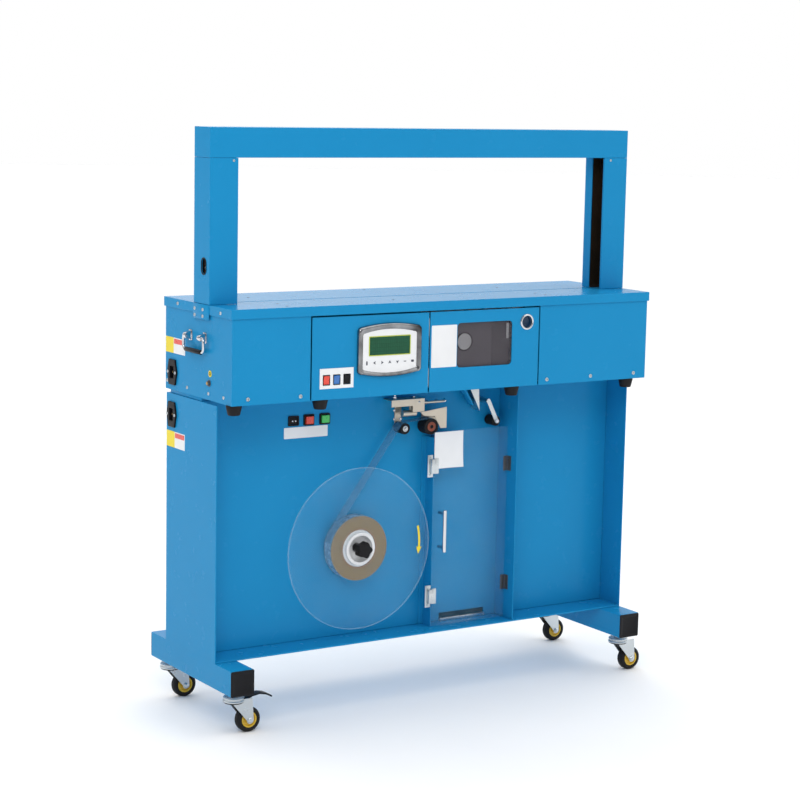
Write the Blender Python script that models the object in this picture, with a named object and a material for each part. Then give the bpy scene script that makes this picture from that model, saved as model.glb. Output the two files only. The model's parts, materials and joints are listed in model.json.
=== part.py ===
"""Semi automatic strapping machine with an arch, on a caster stand, as separate solids.

Metres, +Z up, the operator stands at -Y. X = 0 is the middle of the table, Y = 0 is the middle of
the foot tubes and Z = 0 is the floor. Every moving piece has its origin on its joint's axis.
"""
import math

import bmesh
import bpy
from mathutils import Vector

# ---------------------------------------------------------------- fits and stock
FIT_GAP = 0.0003            # between two pieces that touch
RUNNING_GAP = 0.0003        # radial clearance of a roller or wheel on its pin
SLIDE_GAP = 0.0004          # round a button or a rocker in its hole
SHEET = 0.002               # steel sheet of the covers and the stand
CUT_OVER = 0.004            # how far a cutter runs past what it cuts

# ---------------------------------------------------------------- overall sizes
TABLE_LENGTH = 0.987
TABLE_DEPTH = 0.283
HOUSING_HEIGHT = 0.181      # underside of the housing to the table's top
STAND_TOP = 0.632
ARCH_HEIGHT = 0.333         # table top to the top of the arch

# ---------------------------------------------------------------- foot tubes and casters
FOOT_TUBE_LENGTH = 0.347
FOOT_TUBE_SIZE = 0.050
FOOT_TUBE_WALL = 0.002
CASTER_HEADROOM = 0.013     # top of the wheel to the race
CASTER_INSET = 0.037        # swivel axis from the end of its tube
WHEEL_RADIUS = 0.025
WHEEL_WIDTH = 0.019
WHEEL_TRAIL = 0.030
WHEEL_SHOULDER = 0.003
AXLE_RADIUS = 0.003
RACE_RADIUS = 0.019
RACE_HEIGHT = 0.011
STEM_HEIGHT = 0.008            # hexagon between the tube and the race
STEM_RADIUS = 0.009
FORK_SHEET = 0.002
FORK_SIDE_GAP = 0.0012      # wheel's side to the fork's leg
FORK_TOE = 0.0075           # radius of the leg's round end about the axle
PEDAL_LENGTH = 0.058
PEDAL_WIDTH = 0.018
PEDAL_THICKNESS = 0.0035
PEDAL_HUMP_OUT = 0.031         # pivot to the hump's middle
PEDAL_HUMP = 0.0085            # rise of the hump above the pivot
PEDAL_TIP = 0.001              # drop of the tip below the pivot
PEDAL_PIVOT_OUT = 0.0215    # pivot from the swivel axis, along the trail
PEDAL_PIVOT_DOWN = 0.0165   # pivot below the tube

# ---------------------------------------------------------------- stand
STAND_SIDE_INSET = 0.002    # table's end to the stand's outer face
STAND_DEPTH = 0.212
RECESS_DEPTH = 0.066        # stand's front edge to the back wall
TRAY_THICKNESS = 0.003
SPACER_HEIGHT = 0.007
SPACER_RADIUS = 0.012
SPACER_INSET = 0.045

# ---------------------------------------------------------------- tape pool
POOL_LEFT = 0.0235          # X of the left wall's outer face
POOL_RIGHT = 0.2065         # X of the right wall's inner face
POOL_AHEAD = 0.0015         # tape's front edge to the front of the pool's left wall
POOL_WALL_DOWN = 0.102      # stand's top to the left wall's top
POOL_FLANGE = 0.012
POOL_DOOR_DOWN = 0.090
POOL_DOOR_THICKNESS = 0.003
POOL_DOOR_CLEARANCE = 0.002  # door's lower edge to the tray, and its edge to the hinge wall
POOL_HINGE_GAP = 0.001
PULL_X = 0.037
PULL_LENGTH = 0.087
PULL_STANDOFF = 0.022
PULL_RADIUS = 0.004
POOL_SLOT_CENTRE_X = 0.122
POOL_SLOT_LENGTH = 0.112
POOL_SLOT_HEIGHT = 0.014
POOL_SLOT_UP = 0.003        # slot's lower edge above the tray

# ---------------------------------------------------------------- housing
TABLE_SETBACK = 0.006       # end of the foot tubes to the table's front edge
LID_THICKNESS = 0.003
LIP_HEIGHT = 0.0185
LIP_WALL = 0.002
COVER_INSET = 0.003         # table's edge to the covers' outer faces
PANEL_SEAM = 0.003
LEFT_SEAM_X = -0.321
MIDDLE_SEAM_X = -0.0535
RIGHT_SEAM_X = 0.2125
PANEL_TOP_GAP = 0.003       # lid's lip to the top of the middle panels
TABLE_SLOT_BEHIND = 0.015   # middle of the tape to the middle of the slot
TABLE_SLOT_WIDTH = 0.005
CHUTE_HOLE_MARGIN = 0.004

# ---------------------------------------------------------------- window door
WINDOW_X = 0.0787
WINDOW_UP = 0.0908          # its centre above the housing's underside
WINDOW_WIDTH = 0.133
WINDOW_HEIGHT = 0.089
WINDOW_CORNER = 0.008
PANE_THICKNESS = 0.002
PANE_BORDER = 0.006
PORT_X = 0.1805
PORT_UP = 0.131
PORT_RADIUS = 0.0125

# ---------------------------------------------------------------- arch
ARCH_AHEAD = 0.0065         # arch's front face to the tape's front edge
ARCH_DEPTH = 0.0645
ARCH_BEAM_HEIGHT = 0.057
COLUMN_WIDTH = 0.060
CHANNEL_AHEAD = 0.002       # tape's front edge to the channel's front wall
CHANNEL_BEHIND = 0.0065
PORTHOLE_WIDTH = 0.018
PORTHOLE_HEIGHT = 0.030
PORTHOLE_UP = 0.072         # centre above the table
PORTHOLE_SEGMENTS = 8

# ---------------------------------------------------------------- controller and switches
CONTROLLER_X = -0.1475
CONTROLLER_UP = 0.0908
CONTROLLER_WIDTH = 0.1445
CONTROLLER_SIDE_HEIGHT = 0.089
CONTROLLER_BULGE = 0.008
CONTROLLER_DEPTH = 0.0077
CONTROLLER_BOX_WIDTH = 0.112
CONTROLLER_BOX_HEIGHT = 0.070
CONTROLLER_BOX_DEPTH = 0.022
ROCKER_UP = 0.0383
ROCKER_FIRST_X = -0.2876
ROCKER_PITCH = 0.0228
ROCKER_WIDTH = 0.0127
ROCKER_LENGTH = 0.017
ROCKER_DISH = 0.0012        # depth of the rocker's front at its middle
ROCKER_TILT = 8.0           # degrees each way from level
ROCKER_COLOURS = ("red", "blue", "black")
STAND_SWITCH_DOWN = 0.051   # stand's top to the middle of the switches
STAND_ROCKER_X = -0.2877
STOP_BUTTON_X = -0.2532
START_BUTTON_X = -0.2170
BUTTON_WIDTH = 0.017
BUTTON_HEIGHT = 0.015
BUTTON_PROUD = 0.0065
BUTTON_BODY = 0.010

# ---------------------------------------------------------------- side handles and inlets
HANDLE_PIVOT_UP = 0.117
HANDLE_SPAN = 0.084
HANDLE_DROP = 0.027
HANDLE_STANDOFF = 0.010
HANDLE_RADIUS = 0.003
HANDLE_BEND = 0.007
HANDLE_PIN = 0.013          # length of the turned-in end, from the leg's axis
HANDLE_LUG_START = 0.008    # leg's axis to the lug
HANDLE_LUG_WIDTH = 0.009
HANDLE_LUG_WALL = 0.0022
HANDLE_LUG_FOOT = 0.016     # height of the lug where it meets the cover
INLET_FROM_BACK = 0.026     # stand's rear edge to the middle of the inlets
HOUSING_INLET_UP = 0.0355
STAND_INLET_DOWN = 0.041
INLET_HEIGHT = 0.050
INLET_WIDTH = 0.040
INLET_END_WIDTH = 0.026
INLET_FLANGE = 0.0035
INLET_BODY_HEIGHT = 0.032
INLET_BODY_WIDTH = 0.026
INLET_BODY_DEPTH = 0.022
SOCKET_HEIGHT = 0.024
SOCKET_WIDTH = 0.016
SOCKET_DEPTH = 0.016

# ---------------------------------------------------------------- tape and its reel
TAPE_WIDTH = 0.028
TAPE_CLEARANCE = 0.0025     # back wall to the tape's rear edge
REEL_X = -0.150
REEL_UP = 0.1855            # its centre above the foot tubes
ROLL_RADIUS = 0.0655
CORE_BORE_RADIUS = 0.0381
HUB_COLLAR_RADIUS = 0.0335
HUB_COLLAR_LENGTH = 0.0073
HUB_CUP_RADIUS = 0.027
HUB_CUP_FLOOR = 0.0175      # thickness of the hub behind its cup
DISC_RADIUS = 0.165
DISC_THICKNESS = 0.003
AXLE_FLANGE_RADIUS = 0.030
AXLE_FLANGE = 0.0017
REEL_AXLE_RADIUS = 0.010
STUD_RADIUS = 0.005
STUD_LENGTH = 0.0265
KNOB_RADIUS = 0.0170
KNOB_LOBES = 5
KNOB_DEPTH = 0.017
KNOB_NECK_RADIUS = 0.0085
KNOB_NECK_LENGTH = 0.018

# ---------------------------------------------------------------- tape rollers
PIN_RADIUS = 0.003
GUIDE_ROLLER_X = -0.0455
GUIDE_ROLLER_DOWN = 0.079   # stand's top to the roller's centre
GUIDE_ROLLER_RADIUS = 0.0115
PINCH_ROLLER_X = 0.0175
PINCH_ROLLER_DOWN = 0.0788
PINCH_ROLLER_RADIUS = 0.0165
DANCER_PIVOT_X = 0.156
DANCER_PIVOT_DOWN = 0.0347
DANCER_ROLLER_X = 0.1775
DANCER_ROLLER_DOWN = 0.0778
DANCER_ROLLER_RADIUS = 0.0104
DANCER_ARM_WIDTH = 0.009
DANCER_SHAFT_RADIUS = 0.005
PLATE_THICKNESS = 0.0015
PLATE_AHEAD = 0.001         # tape's front edge to the back of the front plates
BRACKET_LEFT = -0.0807
BRACKET_RIGHT = -0.002
BRACKET_DOWN = 0.019
BRACKET_LIP = 0.014
BRACKET_DEEP_WIDTH = 0.028
BRACKET_DEEP = 0.027
BRACKET_FOOT = 0.016        # width of the strip that holds the bracket to the wall
PLUNGER_LENGTH = 0.032
PLUNGER_RADIUS = 0.0063
PLUNGER_FROM_LEFT = 0.032
ROD_LENGTH = 0.050
ROD_RADIUS = 0.0025
ROD_DROP = 0.009
CHUTE_TIP_X = 0.1357
CHUTE_DROP = 0.0612         # housing's underside to the tongue's tip
CHUTE_TOP_LEFT = 0.0984
CHUTE_TOP_RIGHT = 0.1317
CHUTE_RISE = 0.011          # above the housing's floor

# ---------------------------------------------------------------- feed unit inside the housing
FEED_FRAME_SETBACK = 0.0495  # covers' front face to the upright plate's rear face
FEED_FRAME_THICKNESS = 0.003
FEED_FRAME_LEFT = -0.046
FEED_FRAME_RIGHT = 0.204
FEED_FRAME_HEIGHT = 0.168
FEED_FRAME_FOOT = 0.020
PULLEY_X = 0.060
PULLEY_UP = 0.0935
PULLEY_RADIUS = 0.0205
PULLEY_WIDTH = 0.012
PULLEY_GROOVE = 0.002
MOTOR_RADIUS = 0.028
MOTOR_LENGTH = 0.070
MOTOR_SHAFT_RADIUS = 0.004
HEAD_X = 0.142
HEAD_WIDTH = 0.090
HEAD_DEPTH = 0.043
HEAD_HEIGHT = 0.095

# ---------------------------------------------------------------- smoothness of round pieces
COARSE = 16
MEDIUM = 24
FINE = 48

# ---------------------------------------------------------------- places worked out from the sizes
CASTER_HEIGHT = 2 * WHEEL_RADIUS + CASTER_HEADROOM + RACE_HEIGHT + STEM_HEIGHT
TABLE_FRONT = -FOOT_TUBE_LENGTH / 2 + TABLE_SETBACK
TABLE_BACK = TABLE_FRONT + TABLE_DEPTH
TABLE_END = TABLE_LENGTH / 2
HOUSING_BOTTOM = STAND_TOP + SPACER_HEIGHT
TABLE_TOP = HOUSING_BOTTOM + HOUSING_HEIGHT
LID_UNDERSIDE = TABLE_TOP - LID_THICKNESS
LIP_BOTTOM = TABLE_TOP - LIP_HEIGHT
COVER_END = TABLE_END - COVER_INSET
COVER_FRONT = TABLE_FRONT + COVER_INSET
COVER_BACK = TABLE_BACK - COVER_INSET
COVER_TOP = LID_UNDERSIDE - FIT_GAP
PANEL_TOP = LIP_BOTTOM - PANEL_TOP_GAP
STAND_OUTER = TABLE_END - STAND_SIDE_INSET
STAND_INNER = STAND_OUTER - SHEET
STAND_FRONT = -STAND_DEPTH / 2
STAND_BACK = STAND_DEPTH / 2
TUBE_TOP = CASTER_HEIGHT + FOOT_TUBE_SIZE
TUBE_X = STAND_OUTER - FOOT_TUBE_SIZE / 2
TRAY_BOTTOM = TUBE_TOP + FIT_GAP
TRAY_TOP = TRAY_BOTTOM + TRAY_THICKNESS
WALL_FRONT = STAND_FRONT + RECESS_DEPTH
WALL_BACK = WALL_FRONT + SHEET
TAPE_REAR = WALL_FRONT - TAPE_CLEARANCE
TAPE_FRONT = TAPE_REAR - TAPE_WIDTH
PLATE_BACK = TAPE_FRONT - PLATE_AHEAD
TAPE_MIDDLE = (TAPE_FRONT + TAPE_REAR) / 2
TABLE_SLOT_Y = TAPE_MIDDLE + TABLE_SLOT_BEHIND
ARCH_FRONT_Y = TAPE_FRONT - ARCH_AHEAD
ARCH_BACK_Y = ARCH_FRONT_Y + ARCH_DEPTH
COLUMN_BOTTOM = TABLE_TOP + FIT_GAP
ARCH_TOP = TABLE_TOP + ARCH_HEIGHT
BEAM_BOTTOM = ARCH_TOP - ARCH_BEAM_HEIGHT
POOL_FRONT = TAPE_FRONT - POOL_AHEAD
POOL_DOOR_BACK = POOL_FRONT - FIT_GAP
POOL_DOOR_FRONT = POOL_DOOR_BACK - POOL_DOOR_THICKNESS
POOL_DOOR_BOTTOM = TRAY_TOP + POOL_DOOR_CLEARANCE
POOL_DOOR_TOP = STAND_TOP - POOL_DOOR_DOWN
POOL_WALL_TOP = STAND_TOP - POOL_WALL_DOWN
PULL_Z = (POOL_DOOR_BOTTOM + POOL_DOOR_TOP) / 2
WINDOW_Z = HOUSING_BOTTOM + WINDOW_UP
PORT_Z = HOUSING_BOTTOM + PORT_UP
CONTROLLER_Z = HOUSING_BOTTOM + CONTROLLER_UP
ROCKER_Z = HOUSING_BOTTOM + ROCKER_UP
STAND_SWITCH_Z = STAND_TOP - STAND_SWITCH_DOWN
HANDLE_Y = (TABLE_FRONT + TABLE_BACK) / 2
HANDLE_PIVOT_Z = HOUSING_BOTTOM + HANDLE_PIVOT_UP
INLET_Y = STAND_BACK - INLET_FROM_BACK
HOUSING_INLET_Z = HOUSING_BOTTOM + HOUSING_INLET_UP
STAND_INLET_Z = STAND_TOP - STAND_INLET_DOWN
REEL_Z = TUBE_TOP + REEL_UP
GUIDE_ROLLER_Z = STAND_TOP - GUIDE_ROLLER_DOWN
PINCH_ROLLER_Z = STAND_TOP - PINCH_ROLLER_DOWN
DANCER_PIVOT_Z = STAND_TOP - DANCER_PIVOT_DOWN
DANCER_ROLLER_Z = STAND_TOP - DANCER_ROLLER_DOWN
BRACKET_TOP = STAND_TOP - BRACKET_DOWN
FEED_FRAME_Y = COVER_FRONT + FEED_FRAME_SETBACK
PULLEY_Z = HOUSING_BOTTOM + PULLEY_UP


# ================================================================ helpers
def clear_scene():
    for item in list(bpy.data.objects):
        bpy.data.objects.remove(item, do_unlink=True)


def material(name, colour, roughness, metallic=0.0, alpha=1.0):
    made = bpy.data.materials.new(name)
    made.use_nodes = True
    shader = made.node_tree.nodes["Principled BSDF"]
    shader.inputs["Base Color"].default_value = (*colour, 1.0)
    shader.inputs["Roughness"].default_value = roughness
    shader.inputs["Metallic"].default_value = metallic
    shader.inputs["Alpha"].default_value = alpha
    made.diffuse_color = (*colour, alpha)
    return made


def world_place(item):
    place = Vector((0.0, 0.0, 0.0))
    while item is not None:
        place += item.location
        item = item.parent
    return place


def add_object(name, shape, surface, origin=(0.0, 0.0, 0.0), parent=None):
    """Makes an object of a bmesh given in world places, with its origin at a chosen place."""
    bmesh.ops.translate(shape, verts=shape.verts, vec=-Vector(origin))
    bmesh.ops.recalc_face_normals(shape, faces=shape.faces)
    mesh = bpy.data.meshes.new(name)
    shape.to_mesh(mesh)
    shape.free()
    made = bpy.data.objects.new(name, mesh)
    bpy.context.scene.collection.objects.link(made)
    if surface is not None:
        mesh.materials.append(surface)
    made.location = Vector(origin) - world_place(parent)
    made.parent = parent
    return made


def pivot(name, place, parent=None):
    """An empty that stands on a joint's axis."""
    made = bpy.data.objects.new(name, None)
    bpy.context.scene.collection.objects.link(made)
    made.empty_display_size = 0.02
    made.location = Vector(place) - world_place(parent)
    made.parent = parent
    return made


def box_shape(low, high):
    shape = bmesh.new()
    bmesh.ops.create_cube(shape, size=1.0)
    size = Vector(high) - Vector(low)
    bmesh.ops.scale(shape, verts=shape.verts, vec=size)
    bmesh.ops.translate(shape, verts=shape.verts, vec=(Vector(low) + Vector(high)) / 2)
    return shape


def lay(axis, along, across, up):
    """Places a point given along an axis and in the plane square to it."""
    if axis == "X":
        return Vector((along, across, up))
    if axis == "Y":
        return Vector((across, along, up))
    return Vector((across, up, along))


def prism_shape(axis, outline, start, end):
    """An outline drawn square to an axis, in X, Y, Z order, and extruded along that axis."""
    shape = bmesh.new()
    corners = [shape.verts.new(lay(axis, start, across, up)) for across, up in outline]
    face = shape.faces.new(corners)
    pulled = bmesh.ops.extrude_face_region(shape, geom=[face])
    moved = [item for item in pulled["geom"] if isinstance(item, bmesh.types.BMVert)]
    bmesh.ops.translate(shape, verts=moved, vec=lay(axis, end - start, 0.0, 0.0))
    return shape


def turned_shape(axis, centre, profile, segments):
    """A closed profile of (radius, place along the axis), turned once round the axis."""
    shape = bmesh.new()
    hub = lay(axis, 0.0, *centre)
    points = [shape.verts.new(hub + lay(axis, along, radius, 0.0)) for radius, along in profile]
    edges = [shape.edges.new((points[i - 1], points[i])) for i in range(len(points))]
    direction = lay(axis, 1.0, 0.0, 0.0)
    bmesh.ops.spin(shape, geom=points + edges, cent=hub, axis=direction,
                   angle=math.tau, steps=segments, use_merge=True, use_duplicate=False)
    bmesh.ops.remove_doubles(shape, verts=shape.verts, dist=0.00001)
    return shape


def rod_shape(axis, centre, radius, start, end, segments):
    outline = [(centre[0] + radius * math.cos(math.tau * step / segments),
                centre[1] + radius * math.sin(math.tau * step / segments))
               for step in range(segments)]
    return prism_shape(axis, outline, start, end)


def arc(centre, radius, start, end, steps):
    """Points on an arc, with its two ends; angles in degrees from the first axis."""
    points = []
    for step in range(steps + 1):
        angle = math.radians(start + (end - start) * step / steps)
        points.append((centre[0] + radius * math.cos(angle), centre[1] + radius * math.sin(angle)))
    return points


def rounded_outline(centre, width, height, radius, steps=3):
    outline = []
    for turn, (side, rise) in enumerate(((1, 1), (-1, 1), (-1, -1), (1, -1))):
        corner = (centre[0] + side * (width / 2 - radius), centre[1] + rise * (height / 2 - radius))
        outline += arc(corner, radius, 90 * turn, 90 * turn + 90, steps)
    return outline


def smooth(item):
    item.data.shade_smooth()
    item.data.set_sharp_from_angle(angle=math.radians(35))
    return item


def combine(target, operation, shapes):
    """Cuts shapes from a piece, or joins them to it, with live Boolean modifiers."""
    for number, shape in enumerate(shapes):
        tool = add_object(f"{target.name}_{operation.lower()}_{number}", shape, None)
        tool.hide_render = True
        tool.display_type = "WIRE"
        step = target.modifiers.new(f"{operation.title()} {number}", "BOOLEAN")
        step.operation = operation
        step.solver = "EXACT"
        step.object = tool
    return target


def cut(target, *shapes):
    return combine(target, "DIFFERENCE", shapes)


def join(target, *shapes):
    return combine(target, "UNION", shapes)


# ================================================================ materials
def make_materials():
    return {
        "blue": material("blue paint", (0.035, 0.33, 0.62), 0.25),
        "black": material("black plastic", (0.02, 0.02, 0.022), 0.45),
        "rubber": material("black rubber", (0.03, 0.03, 0.03), 0.75),
        "chrome": material("chrome", (0.80, 0.80, 0.82), 0.12, 1.0),
        "steel": material("zinc plated steel", (0.62, 0.64, 0.64), 0.35, 1.0),
        "grey": material("grey casting", (0.33, 0.34, 0.36), 0.5, 0.6),
        "white": material("white plastic", (0.85, 0.85, 0.84), 0.4),
        "clear": material("clear acrylic", (0.80, 0.90, 0.95), 0.05, 0.0, 0.25),
        "smoked": material("smoked acrylic", (0.12, 0.13, 0.15), 0.1, 0.0, 0.6),
        "film": material("wound film", (0.36, 0.25, 0.10), 0.35),
        "red": material("red plastic", (0.75, 0.06, 0.04), 0.35),
        "green": material("green plastic", (0.05, 0.55, 0.18), 0.35),
        "switch blue": material("blue plastic", (0.04, 0.22, 0.60), 0.35),
    }


# ================================================================ stand
def side_name(side):
    return "left" if side < 0 else "right"


def span(first, second):
    return min(first, second), max(first, second)


def make_foot_tube(side, surface):
    centre = side * TUBE_X
    half = FOOT_TUBE_SIZE / 2
    inner = half - FOOT_TUBE_WALL
    end = FOOT_TUBE_LENGTH / 2
    middle = CASTER_HEIGHT + half
    tube = add_object(f"foot_tube_{side_name(side)}",
                      box_shape((centre - half, -end, CASTER_HEIGHT), (centre + half, end, TUBE_TOP)),
                      surface)
    cut(tube, box_shape((centre - inner, -end - CUT_OVER, middle - inner),
                        (centre + inner, end + CUT_OVER, middle + inner)))


def make_side_panel(side, surface):
    low, high = span(side * STAND_INNER, side * STAND_OUTER)
    panel = add_object(f"stand_{side_name(side)}_panel",
                       box_shape((low, STAND_FRONT, TUBE_TOP + FIT_GAP), (high, STAND_BACK, STAND_TOP)),
                       surface)
    if side < 0:
        cut(panel, inlet_hole(low - CUT_OVER, high + CUT_OVER, STAND_INLET_Z))


def make_stand_sheets(surface):
    end = STAND_INNER - FIT_GAP
    add_object("stand_tray",
               box_shape((-end, STAND_FRONT, TRAY_BOTTOM), (end, STAND_BACK, TRAY_TOP)), surface)
    floor = TRAY_TOP + FIT_GAP
    wall = add_object("stand_back_wall",
                      box_shape((-end, WALL_FRONT, floor), (end, WALL_BACK, STAND_TOP)), surface)
    front, back = WALL_FRONT - CUT_OVER, WALL_BACK + CUT_OVER
    slot_left = POOL_SLOT_CENTRE_X - POOL_SLOT_LENGTH / 2
    slot_low = TRAY_TOP + POOL_SLOT_UP
    cut(wall,
        rocker_hole("X", STAND_ROCKER_X, STAND_SWITCH_Z, front, back),
        button_hole(STOP_BUTTON_X, front, back),
        button_hole(START_BUTTON_X, front, back),
        box_shape((slot_left, front, slot_low),
                  (slot_left + POOL_SLOT_LENGTH, back, slot_low + POOL_SLOT_HEIGHT)))
    rear = add_object("stand_rear_cover",
                      box_shape((-end, WALL_BACK + FIT_GAP, floor), (end, STAND_BACK, STAND_TOP)),
                      surface)
    cut(rear, box_shape((-end - CUT_OVER, WALL_BACK - CUT_OVER, floor - CUT_OVER),
                        (end + CUT_OVER, STAND_BACK - SHEET, STAND_TOP - SHEET)))
    spots = [(side * (end - SPACER_INSET), y)
             for side in (-1, 1) for y in (WALL_BACK + SPACER_INSET / 2, STAND_BACK - SPACER_INSET / 2)]
    join(rear, *[rod_shape("Z", spot, SPACER_RADIUS, STAND_TOP - SHEET / 2, HOUSING_BOTTOM - FIT_GAP,
                           COARSE) for spot in spots])


def make_pool(colours):
    floor = TRAY_TOP + FIT_GAP
    rear = WALL_FRONT - FIT_GAP
    front = POOL_FRONT
    add_object("pool_left_wall", prism_shape("Z", [
        (POOL_LEFT, front), (POOL_LEFT + SHEET, front), (POOL_LEFT + SHEET, rear),
        (POOL_LEFT + SHEET - POOL_FLANGE, rear), (POOL_LEFT + SHEET - POOL_FLANGE, rear - SHEET),
        (POOL_LEFT, rear - SHEET),
    ], floor, POOL_WALL_TOP), colours["blue"])
    add_object("pool_right_wall", prism_shape("Z", [
        (POOL_RIGHT, STAND_FRONT), (POOL_RIGHT + SHEET, STAND_FRONT),
        (POOL_RIGHT + SHEET, rear - SHEET), (POOL_RIGHT + POOL_FLANGE, rear - SHEET),
        (POOL_RIGHT + POOL_FLANGE, rear), (POOL_RIGHT, rear),
    ], floor, STAND_TOP), colours["blue"])
    hinge = pivot("pool_door_pivot", (POOL_RIGHT - POOL_HINGE_GAP, POOL_DOOR_FRONT - POOL_HINGE_GAP,
                                      TRAY_TOP))
    add_object("pool_door",
               box_shape((POOL_LEFT - SHEET / 2, POOL_DOOR_FRONT, POOL_DOOR_BOTTOM),
                         (POOL_RIGHT - POOL_DOOR_CLEARANCE, POOL_DOOR_BACK, POOL_DOOR_TOP)),
               colours["clear"], parent=hinge)
    make_pull(hinge, colours["chrome"])


def make_pull(hinge, surface):
    """A bar on two posts, standing on the pool door's front."""
    out = POOL_DOOR_FRONT - PULL_STANDOFF
    half = PULL_LENGTH / 2
    pull = add_object("pool_door_handle",
                      rod_shape("Z", (PULL_X, out), PULL_RADIUS, PULL_Z - half, PULL_Z + half, COARSE),
                      surface, parent=hinge)
    join(pull, *[rod_shape("Y", (PULL_X, PULL_Z + end * (half - 2 * PULL_RADIUS)), PULL_RADIUS * 0.8,
                           out, POOL_DOOR_FRONT - FIT_GAP, COARSE) for end in (-1, 1)])


# ================================================================ casters
def make_caster(side, end, braked, colours):
    """A fork that swivels, its wheel and its brake pedal, trailing towards +X."""
    name = f"{'front' if end < 0 else 'rear'}_{side_name(side)}"
    x = side * TUBE_X
    y = end * (FOOT_TUBE_LENGTH / 2 - CASTER_INSET)
    top = CASTER_HEIGHT - FIT_GAP
    swivel = pivot(f"swivel_{name}", (x, y, top))
    axle_x = x + WHEEL_TRAIL
    inner = WHEEL_WIDTH / 2 + FORK_SIDE_GAP
    outer = inner + FORK_SHEET
    race_top = top - STEM_HEIGHT
    fork = add_object(f"caster_fork_{name}",
                      rod_shape("Z", (x, y), RACE_RADIUS, race_top - RACE_HEIGHT, race_top, MEDIUM),
                      colours["steel"], (x, y, top), swivel)
    crown = race_top - RACE_HEIGHT / 2
    toe = arc((axle_x, WHEEL_RADIUS), FORK_TOE, 180, 360, 6)
    leg = toe + [(axle_x + FORK_TOE * 0.6, crown), (x - RACE_RADIUS * 0.7, crown)]
    join(fork,
         rod_shape("Z", (x, y), STEM_RADIUS, crown, top, 6),
         prism_shape("Y", leg, y - outer, y - inner),
         prism_shape("Y", leg, y + inner, y + outer),
         rod_shape("Y", (axle_x, WHEEL_RADIUS), AXLE_RADIUS, y - inner - FORK_SHEET / 2,
                   y + inner + FORK_SHEET / 2, COARSE))
    half = WHEEL_WIDTH / 2
    bore = AXLE_RADIUS + RUNNING_GAP
    rim = WHEEL_RADIUS - WHEEL_SHOULDER / 3
    wheel = turned_shape("Y", (axle_x, WHEEL_RADIUS), [
        (bore, y - half), (WHEEL_RADIUS - WHEEL_SHOULDER, y - half), (rim, y - half + WHEEL_SHOULDER / 2),
        (WHEEL_RADIUS, y - half + WHEEL_SHOULDER), (WHEEL_RADIUS, y + half - WHEEL_SHOULDER),
        (rim, y + half - WHEEL_SHOULDER / 2), (WHEEL_RADIUS - WHEEL_SHOULDER, y + half),
        (bore, y + half)], 2 * MEDIUM)
    smooth(add_object(f"caster_wheel_{name}", wheel, colours["rubber"], (axle_x, y, WHEEL_RADIUS),
                      swivel))
    if braked:
        make_pedal(name, x, y, swivel, colours["black"])


def make_pedal(name, x, y, swivel, surface):
    pivot_x = x + PEDAL_PIVOT_OUT
    pivot_z = CASTER_HEIGHT - PEDAL_PIVOT_DOWN
    hump = pivot_x + PEDAL_HUMP_OUT
    tip = pivot_x + PEDAL_LENGTH
    half = PEDAL_THICKNESS / 2
    middle_line = [(pivot_x, pivot_z), ((pivot_x + hump) / 2, pivot_z + PEDAL_HUMP * 0.72),
                   (hump, pivot_z + PEDAL_HUMP), ((hump + tip) / 2, pivot_z + PEDAL_HUMP * 0.68),
                   (tip, pivot_z - PEDAL_TIP)]
    outline = [(across, up - half) for across, up in middle_line]
    outline += [(across, up + half) for across, up in reversed(middle_line)]
    add_object(f"brake_pedal_{name}",
               prism_shape("Y", outline, y - PEDAL_WIDTH / 2, y + PEDAL_WIDTH / 2),
               surface, (pivot_x, y, pivot_z), swivel)


# ================================================================ housing
def make_corner_cover(side, seam, surface):
    """The cover of one end: its side and its stretch of the front, bent from one sheet."""
    outer, inner = side * COVER_END, side * (COVER_END - SHEET)
    seam_edge = seam + side * PANEL_SEAM / 2
    cover = add_object(f"{side_name(side)}_cover", prism_shape("Z", [
        (outer, COVER_FRONT), (seam_edge, COVER_FRONT), (seam_edge, COVER_FRONT + SHEET),
        (inner, COVER_FRONT + SHEET), (inner, COVER_BACK), (outer, COVER_BACK),
    ], HOUSING_BOTTOM, COVER_TOP), surface)
    join(cover, *[handle_lug(side, end) for end in (-1, 1)])
    cut(cover, *[handle_bore(side, end) for end in (-1, 1)])
    if side < 0:
        cut(cover, inlet_hole(outer - CUT_OVER, inner + CUT_OVER, HOUSING_INLET_Z))


def handle_lug(side, end):
    """A lug that stands out from a cover and holds one pin of the side handle."""
    pin_x = side * (COVER_END + HANDLE_STANDOFF)
    root_x = side * (COVER_END - SHEET / 2)
    radius = HANDLE_RADIUS + RUNNING_GAP + HANDLE_LUG_WALL
    nose = arc((pin_x, HANDLE_PIVOT_Z), radius, -90, 90, 6)
    if side < 0:
        nose = arc((pin_x, HANDLE_PIVOT_Z), radius, 270, 90, 6)
    outline = nose + [(root_x, HANDLE_PIVOT_Z + HANDLE_LUG_FOOT / 2),
                      (root_x, HANDLE_PIVOT_Z - HANDLE_LUG_FOOT / 2)]
    near = HANDLE_SPAN / 2 - HANDLE_LUG_START
    low, high = span(HANDLE_Y + end * near, HANDLE_Y + end * (near - HANDLE_LUG_WIDTH))
    return prism_shape("Y", outline, low, high)


def handle_bore(side, end):
    pin_x = side * (COVER_END + HANDLE_STANDOFF)
    mouth = HANDLE_Y + end * (HANDLE_SPAN / 2)
    bottom = HANDLE_Y + end * (HANDLE_SPAN / 2 - HANDLE_PIN - FIT_GAP)
    low, high = span(mouth, bottom)
    return rod_shape("Y", (pin_x, HANDLE_PIVOT_Z), HANDLE_RADIUS + RUNNING_GAP, low, high, COARSE)


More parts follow.
